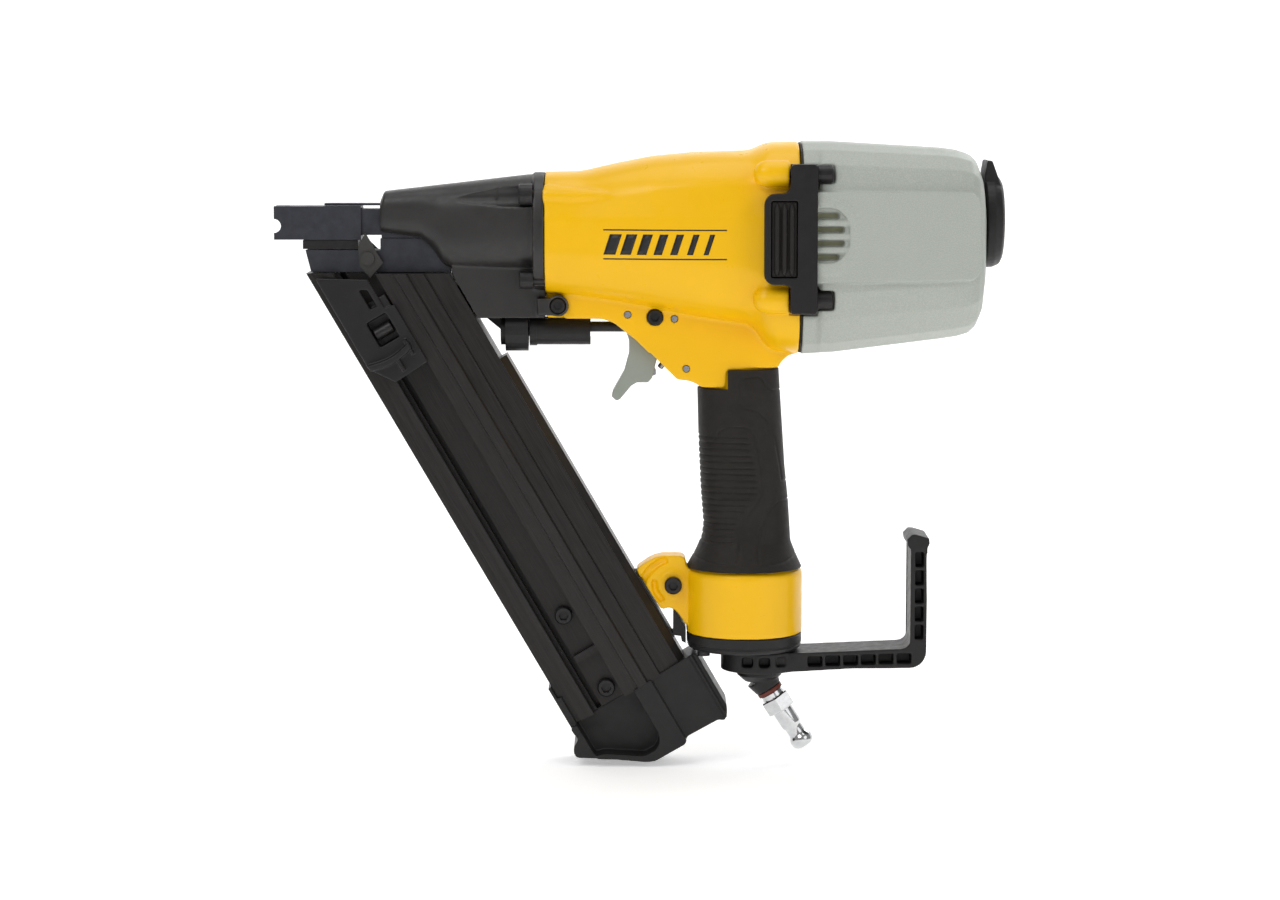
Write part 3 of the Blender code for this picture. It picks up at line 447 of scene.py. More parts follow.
NODE_FINISH = {
    "contact_tip": "gunmetal", "nose_guide": "gunmetal", "feed_block": "gunmetal",
    "dry_fire_lever": "plate_steel", "dry_fire_pin": "plate_steel", "magazine_bracket": "plastic",
}


def finish_cad_nodes():
    """Every CAD node that stays gets its slot's finish and rounded edges, whose lighter colour on some
    finishes is partly wear and partly painted highlight.
    """
    slot_of = {part["node"]: part["material_slot"] for part in frame["record"]["subparts"]}
    for node, obj in frame["nodes"].items():
        kind = NODE_FINISH.get(node, CAD_FINISH[slot_of[node]])
        obj.data.materials.clear()
        obj.data.materials.append(FINISH[kind])
        # Slot 1 holds the lighter edge colour where the finish has one: partly wear, partly painted
        # highlight.
        obj.data.materials.append(FINISH[EDGE_WEAR_AND_HIGHLIGHT_FINISH.get(kind, kind)])
        crisp(obj, 0.35)


# ---------------------------------------------------------------- main housing
def between(line, at):
    """The value at a position on a line of (position, value) pairs, in either order."""
    pairs = sorted(line)
    return float(np.interp(at, [a for a, _ in pairs], [v for _, v in pairs]))


def eased(stations, at, reach=7.0):
    """Station values at a position, averaged over a short reach so that the corners run smoothly."""
    xs = [s[0] for s in stations]
    spots = np.clip(np.linspace(at - reach, at + reach, 9), xs[0], xs[-1])
    columns = [[s[k] for s in stations] for k in range(1, len(stations[0]))]
    return [float(np.mean(np.interp(spots, xs, column))) for column in columns]


BARREL = [   # x, lowest z, highest z, half width, squareness
    (169.7, -41.0, 33.0, 36.0, 2.4), (192.0, -43.5, 33.6, 37.0, 2.4), (211.6, -46.0, 38.2, 41.0, 2.4),
    (234.3, -50.0, 42.7, 45.0, 2.4), (260.4, -55.0, 45.2, 47.5, 2.5), (295.5, -60.0, 46.2, 48.5, 2.6),
    (300.0, -66.0, 49.0, 49.5, 2.7), (305.7, -75.0, 51.2, 50.5, 2.8),
    (HOUSING_REAR, -78.0, 51.5, 51.5, 2.8),
]
BAND_TOP, BAND_BOTTOM = 5.6, -35.6      # the flat band along the barrel's sides


def barrel_section(x, count=128):
    low, high, half, power = eased(BARREL, x, 4.0)
    middle, tall = (low + high) / 2, (high - low) / 2
    ring = []
    for i in range(count):
        a = 2 * math.pi * i / count
        c, s = math.cos(a), math.sin(a)
        y = half * math.copysign(abs(c) ** (2 / (power + 0.5)), c)
        z = middle + tall * math.copysign(abs(s) ** (2 / (power + 0.2)), s)
        off_band = max(0.0, z - BAND_TOP, BAND_BOTTOM - z)
        limit = half * 0.985 - 0.20 * off_band
        ring.append((x, math.copysign(min(abs(y), limit), y), z))
    return ring


def handle_sections(grow, heights, count=28, power=2.3):
    """Sections of the handle at the given heights; grow moves the skin in (negative) or out."""
    front = [(-84, 262.6), (-100, 263.0), (-133, 263.8), (-163, 265.2), (-184, 266.9), (-192.5, 265.8),
             (-201, 262.2), (-211, 256.6), (-262, 256.6)]
    back = [(-84, 313.0), (-90, 313.3), (-101, 314.0), (-148, 317.1), (-169, 319.3), (-195, 321.0),
            (-204, 324.6), (-211, 327.8), (-262, 327.8)]
    wide = [(-84, 19.0), (-100, 20.5), (-150, 21.5), (-184, 22.0), (-195, 24.0), (-204, 30.0),
            (-211, 35.6), (-262, 35.6)]
    rings = []
    for z in heights:
        x0, x1, half = (between(line, z) for line in (front, back, wide))
        ring = []
        for i in range(count):
            a = 2 * math.pi * i / count
            c, s = math.cos(a), math.sin(a)
            y = (half + grow) * math.copysign(abs(c) ** (2 / power), c)
            x = (x0 + x1) / 2 + ((x1 - x0) / 2 + grow) * math.copysign(abs(s) ** (2 / power), s)
            ring.append((x, y, z))
        rings.append(ring)
    return rings


BOSS_PROFILE = [(0, 0.6), (0.7, 3.4), (2.2, 5.6), (4.4, 7.1), (7.5, 8.0), (21.5, 8.0)]
NECK = [(180.0, -30), (180.0, -56.1), (204.8, -56.4), (211.6, -58.8), (219.6, -65.2), (245.6, -84.6),
        (247.7, -85.7), (248.4, -91.4), (250.2, -93.7), (257.0, -94.2), (261.5, -95.9), (264.9, -98.2),
        (277.2, -99.1), (279.7, -97.6), (280.8, -87.4), (312.5, -86.2), (313.6, -83.4), (318.1, -78.8),
        (323.9, -77.2), (323.9, -30)]
BRACKET_ARM = [(224.6, -212.3), (234.4, -205.7), (240.9, -203.7), (255.6, -204.0), (256.2, -211.4),
               (275, -215), (275, -248), (256.0, -247.9), (251.4, -240.0), (246.1, -236.0),
               (240.9, -238.0)]
BRACKET_BOLT = (248.1, -221.9)
CORE_HEIGHTS = [-84.0, -100.0, -150.0, -184.0, -195.0, -204.0, -211.0, -214.0]
NOSE_SCREW_BORE = CAP_SCREW_BORE = 3.3


def crescent(centre, inner, outer, start, end):
    """A bent slot outline between two radii, in degrees."""
    return arc(*centre, outer, start, end, 10) + arc(*centre, inner, end, start, 10)


def housing():
    stations = np.arange(169.7, HOUSING_REAR, 2.5).tolist() + [HOUSING_REAR]
    body = loft("housing_shell", [barrel_section(x) for x in stations])
    base_profile = [(0, BASE_RADIUS - 3.0), (0.9, BASE_RADIUS - 1.0),
                    (2.5, BASE_RADIUS), (40.3, BASE_RADIUS)]
    add = [
        prism("neck", rounded(NECK, 2.5), -17.0, 17.0),
        box("neck_front", (169.9, 182.0), (-11.4, 17.0), (-56.0, -38.0)),
        loft("core", handle_sections(-4.0, CORE_HEIGHTS, 64)),
        lathe("base", base_profile, (BASE_X, 0, -211.8), (0, 0, -1), 128),
        prism("arm", rounded(BRACKET_ARM, 3.0), -9.0, 9.0),
        crosswise("arm_boss", BRACKET_BOLT, -10.0, 10.0, 8.2),
    ]
    for side, _ in SIDES:
        boss_y = side * (SCREW_Y - 2)
        add += [lathe("boss", BOSS_PROFILE, (295.4, boss_y, z), (1, 0, 0)) for z in CAP_SCREW_Z]
        add.append(rod("wedge", (169.9, side * 27.0, 19.5), (222.0, side * 37.6, 19.5), 7.2, tip=1.0))
    rims = []
    for low, high in ((-9.4, -6.4), (6.4, 9.4)):
        rims += [prism("groove", crescent(BRACKET_BOLT, 10.2, 13.4, 165, 240), low, high),
                 prism("groove", crescent((250.5, -229.0), 21.0, 25.6, 105, 162), low, high)]
    carve(body, add=add, cut=rims)
    soften(body, 1.0, 5)
    cut = [
        lathe("bore", [(0, 20.0), (5.8, 20.0), (5.8, 29.2), (170, 29.2)], (168.0, 0, 0), (1, 0, 0)),
        rod("front_bore", (160, 0, 0), (180, 0, 0), 12.0),
        loft("cavity", handle_sections(-9.0, [-70.0, -100.0, -150.0, -200.0, -215.0, -260.0])),
        box("trigger_pocket", (213.0, 245.0), (-8.2, 8.2), (-100, -47.5)),
        rod("valve_bore", (241.3, 0, -85.7), (258.2, 0, -63.1), 5.4),
        crosswise("pin_bore", TRIGGER_PIVOT, -30, 30, 2.35),
        crosswise("side_screw_bore", SIDE_SCREW, -30, -11, 5.2),
        crosswise("upper_pin_bore", UPPER_PIN, -30, -11, 2.3),
        crosswise("lower_pin_bore", LOWER_PIN, -30, -11, 2.3),
        rod("trip_entry", (196, 0, -62.2), (221, 0, -62.2), 9.2),
        box("trip_clearance", (175.0, 214.0), (-9.2, 9.2), (-80, -55.0)),
        crosswise("bracket_bore", BRACKET_BOLT, -30, 30, 3.3),
    ]
    for side, _ in SIDES:
        for z in CAP_SCREW_Z:
            y = side * SCREW_Y
            cut.append(rod("boss_bore", (299, y, z), (340, y, z), CAP_SCREW_BORE))
            cut.append(box("guard_seat", (317.3, 330), sideways(side, 46.0, 80.0), (z - 9.4, z + 8.4)))
        cut += [rod("nose_bore", (160, side * y, z), (182, side * y, z), NOSE_SCREW_BORE)
                for z, y in NOSE_SCREWS]
    carve(body, cut=cut)
    dress(body, "housing", FINISH["yellow"], ["main_housing"])
    badge(body)


def badge(body):
    """A plain badge in place of lettering: slanted bars between two thin lines on each side."""
    left, right, low, high = 205.4, 279.8, -18.7, -1.2
    outlines = [[(left, z), (right, z), (right, z + 0.8), (left, z + 0.8)] for z in (low, high)]
    bars, lean = 7, 4.0
    pitch = (right - left - lean) / bars
    for i in range(bars):
        x = left + i * pitch
        wide = pitch * (0.72 - 0.07 * i)
        foot, head = low + 3.0, high - 2.2
        outlines.append([(x, foot), (x + wide, foot), (x + wide + lean, head), (x + lean, head)])
    for side, hand in SIDES:
        shape = bmesh.new()
        for outline in outlines:
            columns = max(1, int(abs(outline[1][0] - outline[0][0]) / 2.0))
            grid = []
            for row in range(5):
                t = row / 4
                start = Vector(outline[0]).lerp(Vector(outline[3]), t)
                end = Vector(outline[1]).lerp(Vector(outline[2]), t)
                grid.append([shape.verts.new(place((start.lerp(end, c / columns).x, side * 60.0,
                                                    start.lerp(end, c / columns).y)))
                             for c in range(columns + 1)])
            for row in range(4):
                for c in range(columns):
                    shape.faces.new((grid[row][c], grid[row][c + 1],
                                     grid[row + 1][c + 1], grid[row + 1][c]))
        data = bpy.data.meshes.new(f"badge_{hand}")
        shape.to_mesh(data)
        shape.free()
        mark = link(f"badge_{hand}", data)
        wrap = mark.modifiers.new("wrap", "SHRINKWRAP")
        wrap.target = body
        wrap.wrap_method = "PROJECT"
        wrap.use_project_y = True
        wrap.use_project_x = wrap.use_project_z = False
        wrap.use_negative_direction = wrap.use_positive_direction = True
        wrap.offset = 0.06 * MM
        thick = mark.modifiers.new("thick", "SOLIDIFY")
        thick.thickness = 0.05 * MM
        thick.offset = 0.0
        bake(mark)
        mark.data.shade_smooth()
        dress(mark, "housing", FINISH["print"])


# ---------------------------------------------------------------- grip
RIB_TOP, RIB_PITCH, RIB_COUNT = -129.0, 3.83, 18
RIB_EDGE = [(-124.0, 293.0), (-131.0, 298.0), (-150.0, 302.0), (-160.0, 303.0), (-165.0, 302.0),
            (-171.0, 297.5), (-180.0, 291.3), (-187.0, 288.6), (-210.0, 288.0)]
PANEL_LINES = [
    [(262.0, -131.5), (271.5, -133.5), (274.3, -129.0), (276.5, -124.8), (281, -122.8), (292, -122.5),
     (296, -124.5), (298.5, -131), (302, -150), (303.2, -160), (302.5, -164.5), (298.4, -170.5),
     (291.5, -180), (288.8, -187), (288.4, -203), (286.5, -206.6), (282, -207.2), (270, -205.6),
     (258, -203.0)],
    [(288.4, -96.5), (290.5, -92.6), (300.2, -91.6), (303.0, -93.6), (305.6, -98.6), (309.0, -100.4),
     (317.0, -100.8)],
    [(288.4, -96.5), (288.4, -107.6), (291.5, -110.9), (299.3, -112.7), (305.4, -117.9), (310.6, -130.1),
     (314.1, -149.2), (315.2, -156.6), (321.0, -157.6)],
    [(321.0, -168.4), (313.0, -169.2), (309.4, -172.0), (305.4, -177.9), (301.6, -185.7), (300.4, -196.2),
     (300.2, -204.2), (302.4, -207.4), (315.8, -205.6), (328.0, -201.6)],
]
LINE_HALF, LINE_DEPTH, RIB_HALF, RIB_DEPTH = 0.75, 0.55, 0.85, 0.75


def distance_to(line, x, z):
    """Distance of points to a polyline in the side view."""
    best = np.full(x.shape, 1e9)
    for (ax, az), (bx, bz) in zip(line, line[1:]):
        along_x, along_z = bx - ax, bz - az
        t = np.clip(((x - ax) * along_x + (z - az) * along_z) / (along_x ** 2 + along_z ** 2), 0, 1)
        best = np.minimum(best, np.hypot(x - ax - t * along_x, z - az - t * along_z))
    return best


def groove(distance, half, depth):
    """A soft V: full depth on the line and none beyond the half width."""
    return depth * np.clip(1 - distance / half, 0, 1) ** 0.8


def grip():
    heights = np.arange(-87.8, -210.9, -0.6).tolist() + [-210.9]
    sections = np.array(handle_sections(0.0, heights, 220))
    for k in range(3):      # eases the corners of the handle's outline from row to row
        sections[1:-1, :, :2] = (sections[:-2, :, :2] + 2 * sections[1:-1, :, :2] + sections[2:, :, :2]) / 4
    x, z = sections[..., 0], sections[..., 2]
    depth = np.zeros(x.shape)
    for line in PANEL_LINES:
        depth = np.maximum(depth, groove(distance_to(line, x, z), LINE_HALF, LINE_DEPTH))
    edge = np.interp(-z, [-a for a, _ in RIB_EDGE], [b for _, b in RIB_EDGE]) - 2.6
    fade = np.clip((edge - x) / 1.5, 0, 1) * np.clip((RIB_TOP + 3 - z) / 3, 0, 1)
    for k in range(RIB_COUNT):
        depth = np.maximum(depth, groove(abs(z - (RIB_TOP - RIB_PITCH * k)), RIB_HALF, RIB_DEPTH) * fade)
    middle = sections[..., :2].mean(axis=1, keepdims=True)
    outward = sections[..., :2] - middle
    reach = np.linalg.norm(outward, axis=2, keepdims=True)
    sections[..., :2] -= outward / reach * depth[..., None]
    sleeve = loft("grip_cover", [[tuple(p) for p in ring] for ring in sections.tolist()])
    carve(sleeve, cut=[
        loft("inside", handle_sections(-3.6, CORE_HEIGHTS, 64)),
        box("front_step", (240, 281.4), (-60, 60), (-99.6, -70)),
    ])
    sleeve.data.shade_smooth()
    sharp_from_angle(sleeve, 40)
    dress(sleeve, "housing", FINISH["rubber"], ["grip_sleeve"])


def sharp_from_angle(obj, degrees):
    obj.data.set_sharp_from_angle(angle=math.radians(degrees))


# ---------------------------------------------------------------- nose casting
CASTING = [  # x, lowest z, highest z, half width, squareness
    (68.6, -4.3, 15.7, 14.0, 3.4), (71.0, -4.4, 21.3, 16.0, 3.4), (92.8, -7.6, 23.8, 18.0, 3.2),
    (100.4, -14.2, 24.7, 19.0, 3.0), (106.4, -23.6, 25.4, 20.0, 3.0), (112.0, -26.5, 26.0, 21.0, 3.0),
    (140.0, -26.5, 29.3, 25.0, 3.0), (160.0, -26.5, 31.6, 28.0, 3.0),
]


CASTING_FOOT = [(112.5, -20), (112.5, -29), (127.8, -56.1), (169.3, -56.1), (169.3, -20)]


def oval_ring(x, low, high, half, power, count=96):
    ring = []
    for i in range(count):
        a = 2 * math.pi * i / count
        c, s = math.cos(a), math.sin(a)
        y = half * math.copysign(abs(c) ** (2 / power), c)
        ring.append((x, y, (low + high) / 2 + (high - low) / 2 * math.copysign(abs(s) ** (2 / power), s)))
    return ring


def nose_casting():
    stations = [68.6, 69.4, 71.0] + np.arange(73.0, 160.1, 2.0).tolist()
    casting = loft("nose_cover", [
        oval_ring(x, *[between([(s[0], s[k]) for s in CASTING], x) for k in range(1, 5)]) for x in stations
    ] + [oval_ring(164.0, -26.5, 31.6, 28.0, 3.0)])
    flange = [oval_ring(x, -39.6, 32.9, 35.5, 2.6) for x in (162.6, 169.3)]
    cut = [
        box("pocket", (60, 161), (-9.0, 9.0), (-7.4, 8.8)),
        box("mouth", (60, 112), (-9.0, 9.0), (-40, 0)),
        box("root_pocket", (60, 80.4), (-9.0, 9.0), (0, 14.3)),
        rod("blade_hole", (150, 0, 0), (180, 0, 0), 5.0),
        rod("wheel_pocket", (144.0, 0, DEPTH_Z), (159.8, 0, DEPTH_Z), 12.7),
        rod("rod_groove", (120, 0, DEPTH_Z), (180, 0, DEPTH_Z), 9.0),
        crosswise("ear_pocket", EAR_SCREW, -25.0, -18.2, 5.0),
        crosswise("ear_screw_bore", EAR_SCREW, -19.0, -16.0, 1.9),
    ]
    for side, _ in SIDES:
        for z, y in NOSE_SCREWS:
            cut.append(rod("flange_hole", (150, side * y, z), (175, side * y, z), NOSE_SCREW_BORE))
            cut.append(rod("flange_seat", (140, side * y, z), (162.5, side * y, z), 7.4))
        cut.append(rod("relief", (99.0, side * 19.4, 16.8), (141.0, side * 26.6, 20.0), 0.6, tip=7.4))
    carve(casting, add=[
        loft("flange", flange),
        prism("foot", rounded(CASTING_FOOT, 1.2), -14, 14),
        box("ear_arm", (165.0, 179.2), (-20.2, -12.0), (-54.0, -43.4)),
        crosswise("ear", EAR_SCREW, -20.4, -17.2, 6.6),
    ], cut=cut)
    soften(casting, 0.7, 3)
    dress(casting, "housing", FINISH["cast_black"], ["nose_casting"])


# ---------------------------------------------------------------- rear cap and its brackets
CAP = [     # x, highest z, lowest z, half width
    (CAP_FRONT, 51.8, -78.2, 51.5), (334.2, 51.8, -77.7, 51.6), (337.0, 51.8, -77.4, 54.0),
    (345.0, 51.8, -77.0, 54.0), (411.6, 47.9, -68.6, 53.0), (420.8, 46.6, -67.2, 52.0),
    (427.6, 44.5, -65.2, 50.5), (431.9, 40.2, -61.2, 48.0), (435.3, 31.0, -54.0, 42.0),
    (CAP_REAR, 16.0, -40.0, 30.0),
]
CAP_FACETS = [(0.0, 1.0), (0.42, 0.995), (0.70, 0.963), (0.90, 0.896), (1.0, 0.758), (1.0, 0.30),
              (0.93, 0.177), (0.74, 0.062), (0.46, 0.009), (0.0, 0.0)]


PANEL = [(328.6, 21.4), (336.0, 22.8), (428.0, 21.6), (432.0, 16.0), (432.5, -24.0), (428.0, -30.4),
         (328.6, -32.4)]
SURROUND = [(329.4, 17.6), (349.0, 17.6), (358.4, 8.0), (358.4, -16.0), (349.0, -26.6), (329.4, -26.6)]
WINDOW = [(331.4, 12.8), (345.5, 12.8), (353.0, 5.0), (353.0, -12.0), (345.5, -20.0), (331.4, -20.0)]
SLOT_TOP, SLOT_PITCH, SLOT_HEIGHT, SLOT_COUNT = 10.2, 8.2, 4.2, 4


def cap_ring(x, top, bottom, half):
    tall = top - bottom
    side = [(half * y, bottom + tall * z) for y, z in CAP_FACETS]
    return [(x, -y, z) for y, z in side] + [(x, y, z) for y, z in side[-2:0:-1]]


def cap_parts():
    cap = loft("rear_cover", [cap_ring(*station) for station in CAP])
    add, cut = [], [
        lathe("chamber", [(0, 33.0), (46, 33.0), (46, 24.0), (70, 24.0), (84, 10.0), (130, 10.0)],
              (324.0, 0, 0), (1, 0, 0)),
    ]
    panel, surround, window = rounded(PANEL, 4.0), rounded(SURROUND, 7.0), rounded(WINDOW, 4.5)
    for side, _ in SIDES:
        add.append(loft("panel", [[(x, side * y, z) for x, z in panel] for y in (45.0, 57.6)]))
        add.append(loft("surround", [[(x, side * y, z) for x, z in surround] for y in (45.0, 58.3)]))
        cut.append(prism("window", window, *sideways(side, 54.6, 80.0)))
        for z in CAP_SCREW_Z:
            cut += [box("foot_pocket", (320, 334.8), sideways(side, 45.2, 80.0), (z - 9.6, z + 8.6)),
                    rod("head_groove", (330, side * SCREW_Y, z), (344.4, side * SCREW_Y, z), 6.2)]
    carve(cap, add=add, cut=cut)
    bars = []
    for side, _ in SIDES:
        for i in range(SLOT_COUNT):
            z = SLOT_TOP - SLOT_PITCH * i
            right = 347.0 if i in (0, SLOT_COUNT - 1) else 350.0
            outline = [(332.6, z), (right, z), (right, z - SLOT_HEIGHT), (332.6, z - SLOT_HEIGHT)]
            bars.append(prism("slot", rounded(outline, 1.4), *sideways(side, 50.5, 80.0)))
        y = side * 54.6
        heights = [3.9 - SLOT_PITCH * i for i in range(SLOT_COUNT - 1)]
        carve(cap, add=[rod("bar", (331.0, y, z), (353.4, y, z), 2.4) for z in heights])
    carve(cap, cut=bars)
    soften(cap, 0.8, 5)
    dress(cap, "housing", FINISH["cap"], ["rear_cap"])
    for side, hand in SIDES:
        screen = box(f"window_screen_{hand}", (331.8, 351.0), sideways(side, 49.4, 50.9), (-19.4, 11.2))
        crisp(screen, 0.3, edge_slot=False)
        dress(screen, "housing", FINISH["filter"])
        guard(side, hand)


GUARD = [(317.7, 39.0), (333.8, 39.0), (333.8, 25.6), (326.6, 21.0), (325.3, -5.7), (327.0, -33.8),
         (333.8, -37.2), (333.8, -50.5), (317.7, -50.5), (317.7, -34.3), (314.5, -32.9), (305.5, -32.9),
         (301.8, -29.2), (301.8, 17.0), (305.2, 21.3), (315.4, 21.7), (317.7, 26.8)]


def guard(side, hand):
    """The black bracket on one side, with its ribbed pad."""
    bracket = prism(f"side_bracket_{hand}", rounded(GUARD, 2.4), *sideways(side, 52.1, 61.0))
    feet = [box("foot", (317.7, 333.8), sideways(side, 46.4, 53.0), (low, low + 13.4))
            for low in (25.6, -50.5)]
    cut = [rod("bore", (300, side * SCREW_Y, z), (340, side * SCREW_Y, z), CAP_SCREW_BORE)
           for z in CAP_SCREW_Z]
    cut.append(box("pocket", (305.9, 321.7), sideways(side, 54.3, 70.0), (-28.7, 17.2)))
    carve(bracket, add=feet, cut=cut)
    soften(bracket, 0.5, 5)
    dress(bracket, "housing", FINISH["bracket_black"], [f"side_guard_{hand}"])
    pad = box(f"bracket_pad_{hand}", (306.3, 321.3), sideways(side, 54.7, 59.4), (-28.2, 16.7))
    ribs = []
    for x in (309.4, 313.8, 318.2):
        ribs.append(lathe("rib", [(0, 0.4), (3.0, 1.6), (40.0, 1.6), (43.0, 0.4)],
                          (x, side * 60.2, 15.7), (0, 0, -1), 24))
        ribs.append(box("rib_foot", (x - 1.6, x + 1.6), sideways(side, 58.8, 60.3), (-24.3, 12.7)))
    carve(pad, add=ribs)
    soften(pad, 0.35, 3)
    dress(pad, "housing", FINISH["rubber"], [f"guard_pad_{hand}"])


# ---------------------------------------------------------------- pieces softened from their CAD solids
def softened(node, name, body, finish, voxel, passes):
    obj = tool_copy(node, name)
    soften(obj, voxel, passes)
    return dress(obj, body, FINISH[finish], [node])


def deflector():
    softened("exhaust_deflector", "exhaust_cover", "exhaust_deflector", "plastic", 0.6, 4)


def trigger_piece():
    softened("trigger", "trigger_lever", "trigger", "grey_plastic", 0.45, 5)


# ---------------------------------------------------------------- base, hook and air inlet
def base_parts():
    cap = lathe("handle_end_cap", [
        (0, 30.0), (0, 35.4), (0.5, 35.8), (5.6, 35.7), (6.0, 35.2), (6.6, 35.2), (7.2, 35.4), (8.6, 34.8),
        (9.6, 33.4), (9.6, 20.0)], (BASE_X, 0, -252.5), (0, 0, -1), 128)
    carve(cap, cut=[rod("port", (HOOK_X, 0, -240), (HOOK_X, 0, -270), 9.0)])
    cap.data.shade_smooth()
    sharp_from_angle(cap, 35)
    dress(cap, "housing", FINISH["plastic"], ["end_cap"])


HOOK_OUTLINE = (
    [(318, -263.4), (329.5, -263.4), (386.8, -261.0)] + arc(388.6, -254.4, 6.6, 275, 358, 6)
    + [(395.2, -199.0), (392.6, -195.5), (392.2, -192.6), (395.4, -189.4), (398.2, -189.5), (406.0, -191.8),
       (406.2, -195.4), (404.4, -199.0), (404.9, -230.0)] + arc(394.2, -262.4, 10.6, 0, -88, 8)
    + [(360, -273.2), (318, -275.6)]
)
HOOK_PITCH, HOOK_RIB = 11.0, 1.9


def hook():
    body = lathe("hook_frame", [(0, 9.2), (0, 24.0), (12.6, 24.0), (12.6, 9.2)],
                 (HOOK_X, 0, -263.2), (0, 0, -1), 128, hollow=True)
    cut = []
    for side, _ in SIDES:
        for i in range(7):
            x = 320.4 + HOOK_PITCH * i
            low = -272.6 + 0.035 * (x - 318)
            reach = 8.6 if i else 20.0
            right = x + HOOK_PITCH - HOOK_RIB
            outline = [(x, low), (right, low), (right, low + 6.6), (x, low + 6.6)]
            cut.append(prism("arm_pocket", rounded(outline, 0.8), *sideways(side, reach, 30.0)))
        for i in range(5):
            top = -200.4 - 11.3 * i
            cut.append(box("upright_pocket", (397.6, 402.8), sideways(side, 8.6, 30.0), (top - 9.4, top)))
        for i in range(3):
            x = 290.6 + 10.4 * i
            cut.append(prism("disc_window", rounded([(x, -271.6), (x + 6.8, -271.6), (x + 6.8, -265.6),
                                                     (x, -265.6)], 1.8), *sideways(side, 17.0, 30.0)))
    carve(body, add=[prism("arm", HOOK_OUTLINE, -HOOK_HALF, HOOK_HALF)], cut=cut)
    soften(body, 0.6, 3)
    dress(body, "rafter_hook", FINISH["plastic"], ["rafter_hook"])


def plug_axis():
    return Vector((math.sin(PLUG_TILT), 0, -math.cos(PLUG_TILT)))


def inlet_parts():
    start, axis = Vector((PLUG_START[0], 0, PLUG_START[1])), plug_axis()
    softened("inlet_boss", "inlet_elbow", "housing", "plastic", 0.5, 4)
    threads = [(0.4 + 0.5 * i, 8.3 - 0.35 * (i % 2)) for i in range(5)]
    seal_profile = [(0.1, 6.3), (0.1, 8.0)] + threads + [(2.6, 6.3)]
    seal = lathe("sealant_ring", seal_profile, start, axis, 48, hollow=True)
    seal.data.shade_smooth()
    dress(seal, "housing", FINISH["seal"], ["thread_seal"])
    profile = [(-6.0, 4.0), (-6.0, 2.6), (42.0, 2.6), (42.6, 3.2), (42.6, 5.0), (42.3, 5.4), (41.2, 6.6),
               (40.4, 7.0), (38.0, 7.2), (36.8, 7.1), (35.6, 6.6), (34.6, 5.8), (33.4, 5.4), (29.4, 5.4),
               (28.2, 5.7), (27.0, 6.3), (26.2, 6.5), (16.0, 6.5), (15.6, 6.9), (15.5, 7.2), (3.0, 7.2),
               (2.8, 7.0), (2.8, 6.0), (-0.2, 6.0), (-0.2, 4.0)]
    plug = lathe("hose_plug", profile, start, axis, 72, hollow=True)
    hexagon = lathe("nut", [(6.0, 7.0), (6.0, 9.4), (6.7, 10.0), (14.7, 10.0), (15.4, 9.4), (15.4, 7.0)],
                    start, axis, 6, hollow=True)
    carve(plug, add=[hexagon])
    crisp(plug, 0.25, edge_slot=False)
    dress(plug, "housing", FINISH["chrome"], ["air_plug"])


# ---------------------------------------------------------------- magazine
def along(u, t):
    """A point of the magazine's side view: u across from the front edge, t down its length."""
    x0, z0 = MAGAZINE_START
    c, s = math.cos(MAGAZINE_TILT), math.sin(MAGAZINE_TILT)
    return (x0 + u * c + t * s, z0 + u * s - t * c)


def slab(name, corners, y0, y1):
    """A side-view outline given in (u, t), pushed along Y."""
    return prism(name, [along(u, t) for u, t in corners], min(y0, y1), max(y0, y1))


COVER = [(-2.4, 320.0), (-1.8, 328.4), (-6.4, 331.0), (-8.6, 334.4), (-8.4, 337.8), (-4.6, 340.4),
         (12.0, 350.6), (28.0, 361.8), (33.0, 363.9), (54.6, 364.0), (57.4, 360.9), (79.6, 361.4),
         (82.4, 363.8), (85.4, 362.4), (88.4, 356.9), (88.4, 319.4), (86.4, 317.6)]
COVER_RECESS = [(2.2, 300.0), (2.2, 342.6), (8.0, 344.0), (28.6, 357.8), (36.6, 358.0), (41.4, 354.8),
                (43.6, 349.0), (43.6, 300.0)]


def magazine():
    rail = tool_copy("magazine_rail", "magazine_channel")
    crisp(rail, 0.45)
    # The rail's rounded edges take the lighter edge colour: partly worn anodising, partly painted highlight
    # lines.
    dress(rail, "housing", FINISH["anodised"], ["magazine_rail"],
          edge=FINISH["anodised_worn_edge_highlight"])
    cover = slab("magazine_foot_cover", rounded(COVER, 1.6), -21.6, 18.4)
    carve(cover, add=[
        slab("lip", [(-2.3, 292.0), (-0.3, 292.0), (-0.3, 323.0), (-2.3, 323.0)], -16.0, 16.0),
        slab("side_plate", [(-1.6, 300.5), (4.9, 300.5), (4.9, 324.0), (-1.6, 324.0)], -16.0, -13.3),
    ], cut=[
        slab("mouth", [(3.3, 300.0), (72.5, 300.0), (72.5, 385.0), (3.3, 385.0)], -2.4, 2.4),
        slab("recess", rounded(COVER_RECESS, 2.0), -40.0, -6.4),
        slab("step", [(56.2, 300.0), (100.0, 300.0), (100.0, 380.0), (56.2, 380.0)], -40.0, -18.2),
        slab("rim_groove", [(83.2, 300.0), (84.4, 300.0), (84.4, 380.0), (83.2, 380.0)], -40.0, -17.2),
        slab("edge_step", [(85.6, 300.0), (100.0, 300.0), (100.0, 380.0), (85.6, 380.0)], -40.0, -15.6),
        slab("front_step", [(-20.0, 325.2), (2.6, 325.2), (2.6, 380.0), (-20.0, 380.0)], -40.0, -19.6),
    ])
    soften(cover, 0.5, 3)
    dress(cover, "housing", FINISH["plastic"], ["magazine_end_cover"])
    pusher()


